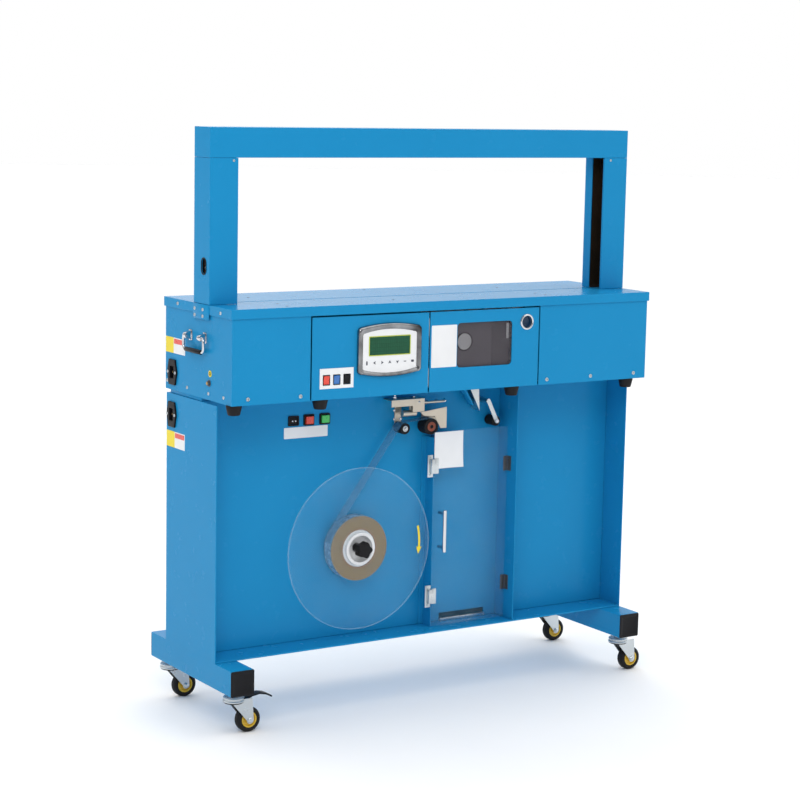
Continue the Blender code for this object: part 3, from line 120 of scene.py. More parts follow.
# ---------------------------------------------------------------- finishes
def new_finish(name):
    made = bpy.data.materials.new(name)
    made.use_nodes = True
    return made, made.node_tree, made.node_tree.nodes["Principled BSDF"]


def node(tree, kind, **values):
    made = tree.nodes.new(kind)
    for key, value in values.items():
        setattr(made, key, value)
    return made


def object_coordinates(tree, stretch=(1.0, 1.0, 1.0), centre=(0.0, 0.0, 0.0)):
    """Object coordinates, moved so that a centre is the pattern's origin, then stretched."""
    coordinates = node(tree, "ShaderNodeTexCoord")
    moved = node(tree, "ShaderNodeVectorMath", operation="SUBTRACT")
    moved.inputs[1].default_value = centre
    scaled = node(tree, "ShaderNodeVectorMath", operation="MULTIPLY")
    scaled.inputs[1].default_value = stretch
    tree.links.new(coordinates.outputs["Object"], moved.inputs[0])
    tree.links.new(moved.outputs[0], scaled.inputs[0])
    return scaled.outputs[0]


def noise(tree, place, scale, detail=3.0, roughness=0.55):
    made = node(tree, "ShaderNodeTexNoise")
    made.inputs["Scale"].default_value = scale
    made.inputs["Detail"].default_value = detail
    made.inputs["Roughness"].default_value = roughness
    tree.links.new(place, made.inputs["Vector"])
    return made.outputs["Fac"]


def remap(tree, value, low, high, start=0.3, stop=0.7):
    made = node(tree, "ShaderNodeMapRange")
    for key, number in (("From Min", start), ("From Max", stop), ("To Min", low), ("To Max", high)):
        made.inputs[key].default_value = number
    tree.links.new(value, made.inputs["Value"])
    return made.outputs["Result"]


def blend_colours(tree, share, first, second):
    made = node(tree, "ShaderNodeMix", data_type="RGBA")
    tree.links.new(share, made.inputs["Factor"])
    for socket, colour in ((made.inputs[6], first), (made.inputs[7], second)):
        if isinstance(colour, bpy.types.NodeSocket):
            tree.links.new(colour, socket)
        else:
            socket.default_value = (*colour, 1.0)
    return made.outputs[2]


def bump(tree, shader, height, strength, distance):
    made = node(tree, "ShaderNodeBump")
    made.inputs["Strength"].default_value = strength
    made.inputs["Distance"].default_value = distance
    tree.links.new(height, made.inputs["Height"])
    tree.links.new(made.outputs["Normal"], shader.inputs["Normal"])


def surface(name, first, second, roughness, metallic=0.0, coat=0.0, grain=900.0, depth=0.00004,
            stretch=(1.0, 1.0, 1.0), patch=9.0, shine=0.5):
    """A finish whose colour drifts between two, with uneven gloss and a fine grain."""
    made, tree, shader = new_finish(name)
    even = object_coordinates(tree)
    drawn = object_coordinates(tree, stretch)
    patches = remap(tree, noise(tree, even, patch), 0.0, 1.0)
    fine = noise(tree, drawn, grain, 2.0)
    tree.links.new(blend_colours(tree, patches, first, second), shader.inputs["Base Color"])
    tree.links.new(remap(tree, noise(tree, drawn, grain / 12.0), roughness * 0.85, roughness * 1.2),
                   shader.inputs["Roughness"])
    shader.inputs["Metallic"].default_value = metallic
    shader.inputs["Specular IOR Level"].default_value = shine
    shader.inputs["Coat Weight"].default_value = coat
    shader.inputs["Coat Roughness"].default_value = 0.08
    bump(tree, shader, fine, 0.35, depth)
    return made


def shade(colour, share):
    return tuple(part * share for part in colour)


def worn_paint(name, first, second):
    """Gloss paint with a soft orange peel, and faint dust in darker specks spread at random."""
    made, tree, shader = new_finish(name)
    place = object_coordinates(tree)
    patches = remap(tree, noise(tree, place, 4.0, 4.0), 0.0, 1.0)
    colour = blend_colours(tree, patches, first, second)
    scuffs = remap(tree, noise(tree, place, 55.0, 5.0, 0.7), 0.0, 1.0, 0.66, 0.86)
    tree.links.new(blend_colours(tree, scuffs, colour, shade(first, 0.98)), shader.inputs["Base Color"])
    tree.links.new(remap(tree, noise(tree, place, 30.0, 4.0), 0.24, 0.28), shader.inputs["Roughness"])
    shader.inputs["Specular IOR Level"].default_value = 0.08
    shader.inputs["Coat Weight"].default_value = 0.02
    shader.inputs["Coat Roughness"].default_value = 0.10
    bump(tree, shader, noise(tree, place, 300.0, 2.0), 0.04, 0.00003)
    return made


def rolled_film(name, centre, edge, pale):
    """Ends of a wound roll: fine rings round the roll's own axis, in uneven shades."""
    made, tree, shader = new_finish(name)
    place = object_coordinates(tree, (1.0, 0.0, 1.0), centre)
    length = node(tree, "ShaderNodeVectorMath", operation="LENGTH")
    tree.links.new(place, length.inputs[0])
    ring = node(tree, "ShaderNodeMath", operation="MULTIPLY")
    ring.inputs[1].default_value = 420.0
    tree.links.new(length.outputs["Value"], ring.inputs[0])
    combined = node(tree, "ShaderNodeCombineXYZ")
    tree.links.new(ring.outputs[0], combined.inputs["X"])
    rings = noise(tree, combined.outputs[0], 1.0, 4.0, 0.7)
    tree.links.new(blend_colours(tree, remap(tree, rings, 0.0, 1.0, 0.35, 0.65), edge, pale),
                   shader.inputs["Base Color"])
    tree.links.new(remap(tree, rings, 0.22, 0.42), shader.inputs["Roughness"])
    shader.inputs["Coat Weight"].default_value = 0.3
    bump(tree, shader, rings, 0.4, 0.0002)
    return made


def clear_sheet(name, colour, facing, grazing, roughness=0.04):
    """Clear plastic: nearly unseen face on, and milky at a glancing angle and on its edges."""
    made, tree, shader = new_finish(name)
    layer = node(tree, "ShaderNodeLayerWeight")
    layer.inputs["Blend"].default_value = 0.35
    place = object_coordinates(tree)
    smears = remap(tree, noise(tree, place, 14.0, 5.0), 0.0, 0.03)
    total = node(tree, "ShaderNodeMath", operation="ADD", use_clamp=True)
    tree.links.new(remap(tree, layer.outputs["Facing"], facing, grazing, 0.0, 1.0), total.inputs[0])
    tree.links.new(smears, total.inputs[1])
    tree.links.new(total.outputs[0], shader.inputs["Alpha"])
    tree.links.new(blend_colours(tree, remap(tree, noise(tree, place, 6.0), 0.0, 1.0), colour,
                                 shade(colour, 0.94)), shader.inputs["Base Color"])
    shader.inputs["Roughness"].default_value = roughness
    shader.inputs["IOR"].default_value = 1.49
    shader.inputs["Specular IOR Level"].default_value = 0.12
    return made


def display_finish(name, glass):
    """A display's glass with the faint grid of its cells."""
    made, tree, shader = new_finish(name)
    place = object_coordinates(tree)
    grid = node(tree, "ShaderNodeTexBrick", offset=0.0)
    grid.inputs["Scale"].default_value = 1.0
    grid.inputs["Mortar Size"].default_value = 0.0003
    grid.inputs["Brick Width"].default_value = 0.0042
    grid.inputs["Row Height"].default_value = 0.0075
    grid.inputs["Color1"].default_value = (*glass, 1.0)
    grid.inputs["Color2"].default_value = (*shade(glass, 1.12), 1.0)
    grid.inputs["Mortar"].default_value = (*shade(glass, 0.72), 1.0)
    turned = node(tree, "ShaderNodeMapping")
    turned.inputs["Rotation"].default_value = (math.radians(90), 0.0, 0.0)
    tree.links.new(place, turned.inputs["Vector"])
    tree.links.new(turned.outputs[0], grid.inputs["Vector"])
    tree.links.new(grid.outputs["Color"], shader.inputs["Base Color"])
    tree.links.new(remap(tree, noise(tree, place, 60.0), 0.12, 0.22), shader.inputs["Roughness"])
    shader.inputs["Specular IOR Level"].default_value = 0.2
    return made


def make_finishes():
    c = colours()
    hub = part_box("reel_hub")
    reel_centre = tuple((hub[0] + hub[1]) / 2)
    plain = (
        ("zinc", c.zinc, 0.30, 1.0, 0.0), ("plate", c.plate, 0.36, 0.85, 0.0),
        ("chrome", c.chrome, 0.09, 1.0, 0.0), ("hub yellow", c.hub_yellow, 0.38, 0.0, 0.1),
        ("arrow yellow", c.arrow_yellow, 0.40, 0.0, 0.0), ("white", c.white, 0.34, 0.0, 0.15),
        ("core", c.core, 0.75, 0.0, 0.0), ("hub brown", c.hub_brown, 0.5, 0.0, 0.0),
        ("film face", c.film_face, 0.26, 0.55, 0.2), ("red", c.red, 0.28, 0.0, 0.4),
        ("green", c.green, 0.28, 0.0, 0.4), ("blue", c.blue, 0.28, 0.0, 0.4),
    )
    for name, colour, roughness, metallic, coat in plain:
        PIECES[name] = surface(name, tuple(colour), shade(colour, 0.90), roughness, metallic, coat)
    for name, colour, roughness in (("plastic", c.plastic, 0.40), ("rubber", c.tyre, 0.60)):
        PIECES[name] = surface(name, tuple(colour), shade(colour, 0.85), roughness, shine=0.18)
    PIECES["paint"] = worn_paint("paint", tuple(c.body), tuple(c.body_dark))
    PIECES["brushed"] = surface("brushed", shade(c.zinc, 1.05), shade(c.zinc, 0.85), 0.28, 1.0,
                                grain=500.0, depth=0.00003, stretch=(1.0, 1.0, 14.0))
    PIECES["brass"] = surface("brass", (0.62, 0.42, 0.16), (0.50, 0.33, 0.12), 0.32, 1.0)
    # The bezel's chrome colour drifts in large patches from bright to nearly black: these dark patches are painted
    # reflections.
    PIECES["bezel"] = surface("bezel", shade(c.chrome, 0.62), shade(c.chrome, 0.04), 0.10, 1.0,
                              patch=15.0)
    # Grey sheets that stand in for the inside of the housing behind the window pane; their darkness is painted
    # shade, and the second sheet is darker still, painted deeper shade.
    PIECES["screen"] = surface("screen", (0.165, 0.150, 0.170), (0.150, 0.138, 0.156), 0.55)
    PIECES["painted shade screen"] = surface("painted shade screen", (0.105, 0.095, 0.108), (0.090, 0.082, 0.094), 0.55)
    # A much darker copy of the body's blue for the inside of the door's port cup: painted shade in the recess.
    PIECES["blue in painted shade"] = surface("blue in painted shade", (0.006, 0.045, 0.115), (0.004, 0.032, 0.085), 0.35)
    PIECES["display edge"] = surface("display edge", (0.50, 0.58, 0.05), (0.44, 0.52, 0.04), 0.4)
    PIECES["key blue"] = surface("key blue", (0.045, 0.050, 0.075), (0.035, 0.040, 0.062), 0.45)
    PIECES["casting"] = surface("casting", (0.16, 0.165, 0.17), (0.11, 0.115, 0.12), 0.5, 0.7,
                                grain=500.0, depth=0.00012)
    PIECES["pale casting"] = surface("pale casting", (0.46, 0.47, 0.48), (0.38, 0.39, 0.40), 0.42, 0.6,
                                     grain=500.0, depth=0.00012)
    PIECES["track"] = surface("track", (0.020, 0.016, 0.012), (0.05, 0.03, 0.018), 0.22, 0.3, 0.5)
    PIECES["film"] = rolled_film("film", reel_centre, tuple(c.film), shade(c.film, 1.45))
    PIECES["clear"] = clear_sheet("clear", (0.34, 0.60, 0.80), 0.010, 0.24)
    # The rim's finish is a lighter, less clear copy of the disc's: a painted highlight along the disc's edge.
    PIECES["clear edge highlight"] = clear_sheet("clear edge highlight", (0.42, 0.68, 0.84), 0.14, 0.36)
    PIECES["tape"] = clear_sheet("tape", (0.20, 0.44, 0.62), 0.22, 0.55, 0.12)
    PIECES["smoked"] = clear_sheet("smoked", (0.110, 0.100, 0.115), 0.26, 0.48)
    PIECES["display"] = display_finish("display", tuple(c.display))


# ---------------------------------------------------------------- shapes
def lay(axis, along, across, up):
    """A point given along an axis and in the plane square to it."""
    if axis == "X":
        return Vector((along, across, up))
    if axis == "Y":
        return Vector((across, along, up))
    return Vector((across, up, along))


def bevel_edges(shape, edges, width, segments=2):
    if width > 0.0:
        bmesh.ops.bevel(shape, geom=edges, offset=width, offset_type="OFFSET", segments=segments,
                        profile=0.5, affect="EDGES", material=-1, clamp_overlap=True)


def add_box(shape, low, high, bevel=0.0, segments=2):
    low, high = Vector(low), Vector(high)
    made = bmesh.ops.create_cube(shape, size=1.0)["verts"]
    bmesh.ops.scale(shape, verts=made, vec=high - low)
    bmesh.ops.translate(shape, verts=made, vec=(low + high) / 2)
    bevel_edges(shape, list({edge for vert in made for edge in vert.link_edges}), bevel, segments)


def add_prism(shape, axis, outline, start, end, bevel=0.0, segments=2):
    """An outline extruded along an axis, with its two rims bevelled."""
    corners = [shape.verts.new(lay(axis, start, across, up)) for across, up in outline]
    first = shape.faces.new(corners)
    pulled = bmesh.ops.extrude_face_region(shape, geom=[first])["geom"]
    moved = [item for item in pulled if isinstance(item, bmesh.types.BMVert)]
    bmesh.ops.translate(shape, verts=moved, vec=lay(axis, end - start, 0.0, 0.0))
    last = [item for item in pulled if isinstance(item, bmesh.types.BMFace)]
    rims = {edge for face in [first, *last] for edge in face.edges}
    bevel_edges(shape, list(rims), bevel, segments)


def add_band(shape, axis, outer, inner, start, end, bevel=0.0):
    """The band between two outlines with the same number of points, extruded along an axis."""
    edges = []
    for outline in (outer, inner):
        corners = [shape.verts.new(lay(axis, start, across, up)) for across, up in outline]
        edges += [shape.edges.new((corners[i - 1], corners[i])) for i in range(len(corners))]
    band = bmesh.ops.bridge_loops(shape, edges=edges)["faces"]
    pulled = bmesh.ops.extrude_face_region(shape, geom=band)["geom"]
    moved = [item for item in pulled if isinstance(item, bmesh.types.BMVert)]
    bmesh.ops.translate(shape, verts=moved, vec=lay(axis, end - start, 0.0, 0.0))
    flat = [item for item in pulled if isinstance(item, bmesh.types.BMFace)]
    rims = {edge for face in band + flat for edge in face.edges
            if sum(other in band or other in flat for other in edge.link_faces) == 1}
    bevel_edges(shape, list(rims), bevel)


def add_loft(shape, axis, rings):
    """A ring-shaped skin through outlines with the same number of points, closed on itself."""
    loops = []
    for outline, along in rings:
        corners = [shape.verts.new(lay(axis, along, across, up)) for across, up in outline]
        loops.append([shape.edges.new((corners[i - 1], corners[i])) for i in range(len(corners))])
    for number, loop in enumerate(loops):
        bmesh.ops.bridge_loops(shape, edges=loops[number - 1] + loop)


def add_stack(shape, axis, rings):
    """A solid through outlines with the same number of points, capped at both ends."""
    loops = []
    for outline, along in rings:
        corners = [shape.verts.new(lay(axis, along, across, up)) for across, up in outline]
        loops.append([shape.edges.new((corners[i - 1], corners[i])) for i in range(len(corners))])
    for near, far in zip(loops, loops[1:]):
        bmesh.ops.bridge_loops(shape, edges=near + far)
    for loop in (loops[0], loops[-1]):
        bmesh.ops.edgeloop_fill(shape, edges=loop)


def add_turned(shape, axis, centre, profile, steps=48, closed=True):
    """A profile of (radius, place along the axis) turned once round the axis."""
    hub = lay(axis, 0.0, *centre)
    points = [shape.verts.new(hub + lay(axis, along, radius, 0.0)) for radius, along in profile]
    first = 0 if closed else 1
    edges = [shape.edges.new((points[i - 1], points[i])) for i in range(first, len(points))]
    made = bmesh.ops.spin(shape, geom=points + edges, cent=hub, axis=lay(axis, 1.0, 0.0, 0.0),
                          angle=math.tau, steps=steps, use_merge=True, use_duplicate=False)
    bmesh.ops.remove_doubles(shape, verts=shape.verts, dist=0.000005)
    return made


def add_rod(shape, axis, centre, radius, start, end, bevel=0.0006, steps=24):
    low, high = min(start, end), max(start, end)
    bevel = min(bevel, radius * 0.5, (high - low) * 0.4)
    add_turned(shape, axis, centre, [(0.0, low), (radius - bevel, low), (radius, low + bevel),
                                     (radius, high - bevel), (radius - bevel, high), (0.0, high)],
               steps, closed=False)


def arc(centre, radius, start, end, steps):
    points = []
    for step in range(steps + 1):
        angle = math.radians(start + (end - start) * step / steps)
        points.append((centre[0] + radius * math.cos(angle), centre[1] + radius * math.sin(angle)))
    return points


def rounded(low, high, radius, steps=4):
    """A rectangle's outline with round corners, from its low and high corners.

    The radius is one number, or four from the upper far corner round to the lower far one.
    """
    radii = [radius] * 4 if isinstance(radius, float) else radius
    corners = ((high[0], high[1]), (low[0], high[1]), (low[0], low[1]), (high[0], low[1]))
    outline = []
    for turn, (corner, inward) in enumerate(zip(corners, ((-1, -1), (1, -1), (1, 1), (-1, 1)))):
        if radii[turn] > 0.0:
            centre = (corner[0] + inward[0] * radii[turn], corner[1] + inward[1] * radii[turn])
            outline += arc(centre, radii[turn], 90 * turn, 90 * turn + 90, steps)
        else:
            outline.append(corner)
    return outline


def cross_outline(arm, width):
    """The recess of a cross-head screw, with a point in the middle of each arm's end."""
    points = []
    for turn in range(4):
        quarter = Matrix.Rotation(math.radians(90 * turn), 2)
        for corner in ((arm, -width), (arm, 0.0), (arm, width), (width, width), (width * 1.4, 0.0)):
            points.append(tuple(quarter @ Vector(corner)))
    return [point for number, point in enumerate(points) if number % 5 != 4]


def add_screw(shape, place, direction, radius):
    """A pan-head screw with a cross recess; direction points out of the sheet."""
    steps = 16
    height = radius * 0.55
    recess = cross_outline(radius * 0.55, radius * 0.13)
    rings = [(radius, -SINK), (radius, height * 0.35), (radius * 0.86, height * 0.8),
             (radius * 0.68, height)]
    turn = Vector(direction).to_track_quat("Z", "Y").to_matrix().to_4x4()
    turn = Matrix.Translation(place) @ turn
    before = set(shape.verts)
    bottom = bmesh.ops.create_circle(shape, cap_ends=True, radius=radius, segments=steps)["verts"]
    bmesh.ops.translate(shape, verts=bottom, vec=(0.0, 0.0, -SINK))
    edges = list({edge for vert in bottom for edge in vert.link_edges})
    angles = [math.atan2(vert.co.y, vert.co.x) for vert in bottom]
    order = sorted(range(steps), key=lambda item: angles[item] % math.tau)
    shifted = recess[-1:] + recess[:-1]
    targets = [[(ring * math.cos(math.tau * k / steps), ring * math.sin(math.tau * k / steps), up)
                for k in range(steps)] for ring, up in rings[1:]]
    targets.append([(x, y, height) for x, y in shifted])
    targets.append([(x * 0.8, y * 0.8, height * 0.3) for x, y in shifted])
    current = [bottom[item] for item in order]
    for target in targets:
        pulled = bmesh.ops.extrude_edge_only(shape, edges=edges)["geom"]
        fresh = [item for item in pulled if isinstance(item, bmesh.types.BMVert)]
        edges = [item for item in pulled if isinstance(item, bmesh.types.BMEdge)]
        ring_verts = []
        for vert in current:
            ring_verts.append(min(fresh, key=lambda other: (other.co - vert.co).length))
        for vert, spot in zip(ring_verts, target):
            vert.co = spot
        current = ring_verts
        edges = [edge for edge in edges if all(end in ring_verts for end in edge.verts)]
    bmesh.ops.edgeloop_fill(shape, edges=edges)
    made = [vert for vert in shape.verts if vert not in before]
    bmesh.ops.transform(shape, matrix=turn, verts=made)


def add_piece(name, shape, finish, body, angle=35.0):
    """Makes a piece of a finished shape and lets it ride on a body."""
    bmesh.ops.recalc_face_normals(shape, faces=shape.faces)
    mesh = bpy.data.meshes.new(name)
    shape.to_mesh(mesh)
    shape.free()
    mesh.shade_smooth()
    mesh.set_sharp_from_angle(angle=math.radians(angle))
    mesh.materials.append(PIECES[finish])
    piece = bpy.data.objects.new(name, mesh)
    bpy.context.scene.collection.objects.link(piece)
    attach(piece, body)
    return piece


def spread(low, high, count, margin):
    """Places in a row, evenly from one margin to the other."""
    first, last = low + margin, high - margin
    return [first + (last - first) * place / (count - 1) for place in range(count)]


def middle(name):
    low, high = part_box(name)
    return (low + high) / 2


# ---------------------------------------------------------------- carried-over nodes
SLOT_FINISHES = {
    "blue_paint": "paint", "black_plastic": "plastic", "black_rubber": "rubber",
    "wheel_tyre": "rubber", "chrome": "chrome", "zinc_steel": "zinc", "grey_casting": "casting",
    "aluminium": "brushed", "white_plastic": "white", "clear_acrylic": "clear",
    "smoked_acrylic": "smoked", "wound_film": "film", "red_plastic": "red",
    "green_plastic": "green", "blue_plastic": "blue",
}


NODE_FINISHES = {"guide_bracket": "plate", "guide_plate": "plate", "sealing_head": "pale casting"}
SHARP_NODES = ("stand_left_panel", "stand_right_panel")


class STRAPPER_OT_finishes(bpy.types.Operator):
    """Gives every carried-over node its finish and softens its folded edges"""
    bl_idname = "strapper.finishes"
    bl_label = "Finishes"

    def execute(self, context):
        make_finishes()
        for part in frame["record"]["subparts"]:
            carried = NODES[part["node"]]
            carried.data.materials.clear()
            finish = NODE_FINISHES.get(part["node"], SLOT_FINISHES[part["material_slot"]])
            carried.data.materials.append(PIECES[finish])
            soften(carried, 0.0002 if part["node"] in SHARP_NODES else sizes().fold_radius)
        return {"FINISHED"}


def soften(carried, radius):
    weld = carried.modifiers.new("weld", "WELD")
    weld.merge_threshold = 0.00005
    flat = carried.modifiers.new("flat", "DECIMATE")
    flat.decimate_type = "DISSOLVE"
    flat.angle_limit = math.radians(0.8)
    fold = carried.modifiers.new("fold", "BEVEL")
    fold.width = radius
    fold.segments = 2
    fold.limit_method = "ANGLE"
    fold.angle_limit = math.radians(38)
    even = carried.modifiers.new("even", "WEIGHTED_NORMAL")
    even.keep_sharp = False


# ---------------------------------------------------------------- places taken from the nodes
TABLE_LOW, TABLE_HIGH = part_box("table_front")
FRONT_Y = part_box("window_door")[0].y        # front of the middle panels and the covers
WALL_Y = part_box("stand_back_wall")[0].y     # front of the stand's back wall
STAND_LOW, STAND_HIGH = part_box("stand_left_panel")
REEL = middle("reel_hub")
COVER_INSET = 0.003
COVER_X = TABLE_LOW.x + COVER_INSET         # left face of the left cover
TABLE_TOP = TABLE_HIGH.z
HOUSING_Z = TABLE_TOP - 0.181               # lower edge of the covers
STAND_Z = STAND_HIGH.z                      # top of the stand
TAPE_FRONT, TAPE_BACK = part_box("film_roll")[0].y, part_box("film_roll")[1].y


# ---------------------------------------------------------------- stand
class STRAPPER_OT_foot_tubes(bpy.types.Operator):
    """Makes the square foot tubes with their pressed-in end caps"""
    bl_idname = "strapper.foot_tubes"
    bl_label = "Foot tubes"

    def execute(self, context):
        s = sizes()
        wall = 0.002
        for side, sharp in (("left", 1), ("right", 0)):
            carried = f"foot_tube_{side}"
            low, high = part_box(carried)
            radii = [0.0 if corner == sharp else 0.0025 for corner in range(4)]
            outer = rounded((low.x, low.z), (high.x, high.z + GAP), radii)
            inner = rounded((low.x + wall, low.z + wall), (high.x - wall, high.z - wall), radii)
            shape = bmesh.new()
            add_band(shape, "Y", outer, inner, low.y + s.cap_flange, high.y - s.cap_flange)
            tube = add_piece(f"{carried}_section", shape, "paint", "machine")
            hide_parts(carried)
            shape = bmesh.new()
            for end, inward in ((low.y, 1), (high.y, -1)):
                add_cap(shape, low, high, end, inward * (s.cap_flange - GAP / 2), s.cap_corner)
            add_piece(f"{carried}_caps", shape, "plastic", "machine")
        return {"FINISHED"}


def add_cap(shape, low, high, end, flange, corner):
    """A tube cap's flange with a shallow sunk panel on its outside."""
    rings = []
    for inset, depth, turn in ((0.0, flange, 0.0), (0.0, math.copysign(0.0008, flange), 0.0),
                               (0.0008, 0.0, 0.0004), (0.0060, 0.0, 0.0010),
                               (0.0068, math.copysign(0.0006, flange), 0.0014)):
        outline = rounded((low.x + inset, low.z + inset), (high.x - inset, high.z - inset),
                          corner - turn)
        rings.append((outline, end + depth))
    add_stack(shape, "Y", rings)


class STRAPPER_OT_casters(bpy.types.Operator):
    """Makes the tyres, hubs, races and axle nuts of the casters"""
    bl_idname = "strapper.casters"
    bl_label = "Casters"

    def execute(self, context):
        for place in ("front_left", "front_right", "rear_left", "rear_right"):
            low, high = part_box(f"caster_wheel_{place}")
            add_wheel(place, (low + high) / 2, (high.z - low.z) / 2, (high.y - low.y) / 2)
            add_race(place, *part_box(f"caster_fork_{place}"))
        return {"FINISHED"}


def add_wheel(place, centre, radius, half):
    body = f"wheel_{place}"
    spot = (centre.x, centre.z)
    rim = radius * 0.64
    side = [(rim, half - 0.0016), (rim + 0.0014, half - 0.0004), (radius - 0.0046, half),
            (radius - 0.0016, half - 0.0016), (radius - 0.0003, half - 0.0042), (radius, half - 0.0065)]
    shape = bmesh.new()
    add_turned(shape, "Y", spot, mirrored_profile(side, centre.y), 64)
    tyre = add_piece(f"caster_tyre_{place}", shape, "rubber", body, 25.0)
    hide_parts(f"caster_wheel_{place}")
    web = [(0.0034, half - 0.0008), (0.0062, half - 0.0008), (0.0070, half - 0.0022),
           (0.0080, half - 0.0050), (rim - 0.0040, half - 0.0050), (rim - 0.0026, half - 0.0012),
           (rim - 0.0002, half - 0.0012)]
    shape = bmesh.new()
    add_turned(shape, "Y", spot, mirrored_profile(web, centre.y), 48)
    add_piece(f"caster_hub_{place}", shape, "hub yellow", body, angle=25.0)
    body = f"swivel_{place}"
    face = half + 0.0012 + 0.002
    shape = bmesh.new()
    for side in (-1, 1):
        dome = [(0.0, face - 0.0005), (0.0056, face - 0.0005), (0.0056, face + 0.0012),
                (0.0046, face + 0.0026), (0.0026, face + 0.0036), (0.0, face + 0.0040)]
        add_turned(shape, "Y", spot, [(r, centre.y + side * along) for r, along in dome], 24, False)
    add_piece(f"caster_nuts_{place}", shape, "zinc", body)


def mirrored_profile(side, middle_y):
    """One side's profile, given outwards from the middle, and its mirror image."""
    return ([(radius, middle_y - along) for radius, along in side]
            + [(radius, middle_y + along) for radius, along in reversed(side)])


def add_race(place, low, high):
    """The rolled rings of the swivel race, and a black rubber ring under them that paints the shade beneath the
    race.
    """
    half = (high.y - low.y) / 2
    axis = (frame_joint(f"swivel_{place}").x, (low.y + high.y) / 2)
    top = high.z - 0.008
    shape = bmesh.new()
    for start, reach in ((top - 0.0006, 0.0), (top - 0.0064, 0.0006)):
        lip = [(half - 0.0014, start - 0.0040), (half + reach + 0.0002, start - 0.0040),
               (half + reach + 0.0014, start - 0.0030), (half + reach + 0.0014, start - 0.0010),
               (half + reach + 0.0002, start), (half - 0.0014, start)]
        add_turned(shape, "Z", axis, lip, 48)
    add_piece(f"caster_race_{place}", shape, "zinc", f"swivel_{place}")
    # A black ring under the race: painted shade for the race's shaded underside.
    under = top - 0.0112
    shade_profile = [(half - 0.003, under - 0.0012), (half - 0.0006, under - 0.0012), (half + 0.0008, under),
            (half + 0.0008, under + 0.0014), (half - 0.003, under + 0.0014)]
    shape = bmesh.new()
    add_turned(shape, "Z", axis, shade_profile, 48)
    add_piece(f"caster_painted_shade_{place}", shape, "rubber", f"swivel_{place}")


def frame_joint(name):
    for joint in frame["joints"]:
        if joint["name"] == name:
            return Vector(joint["pos_m"])
    raise RuntimeError(f"the frame has no joint named {name}")


class STRAPPER_OT_rail(bpy.types.Operator):
    """Makes the rail between the stand and the housing, and the bed under the table's slot"""
    bl_idname = "strapper.rail"
    bl_label = "Rail and slot bed"

    def execute(self, context):
        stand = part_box("stand_back_wall")[1]
        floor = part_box("base_plate")[0].z
        shape = bmesh.new()
        half = -STAND_LOW.x - 0.0030
        add_box(shape, (-half, stand.y + 0.001, STAND_Z + GAP), (half, 0.0950, floor - GAP), 0.0004)
        add_piece("housing_rail", shape, "paint", "machine")
        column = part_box("arch_left_column")[1].x
        shape = bmesh.new()
        add_box(shape, (column + 0.004, -0.0465, TABLE_TOP - 0.0052), (-column - 0.004, -0.0365,
                TABLE_TOP - 0.0034), 0.0002)
        add_piece("slot_bed", shape, "plastic", "machine")
        return {"FINISHED"}


FOOT_X = (-0.4785, -0.2925, 0.1565, 0.4505)
FOOT_Y = -0.1505


class STRAPPER_OT_rubber_feet(bpy.types.Operator):
    """Makes the rubber feet under the housing's front edge"""
    bl_idname = "strapper.rubber_feet"
    bl_label = "Rubber feet"

    def execute(self, context):
        s = sizes()
        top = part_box("base_plate")[0].z - 0.0001
        shape = bmesh.new()
        for x in FOOT_X:
            r, bottom = s.foot_radius, top - s.foot_height
            add_turned(shape, "Z", (x, FOOT_Y), [
                (0.0, top), (r, top), (r + 0.0004, top - 0.002), (r * 0.80, bottom + 0.0016),
                (r * 0.74, bottom), (0.0062, bottom), (0.0056, bottom + 0.003), (0.0, bottom + 0.003)],
                40, False)
        add_piece("rubber_feet", shape, "rubber", "machine")
        return {"FINISHED"}


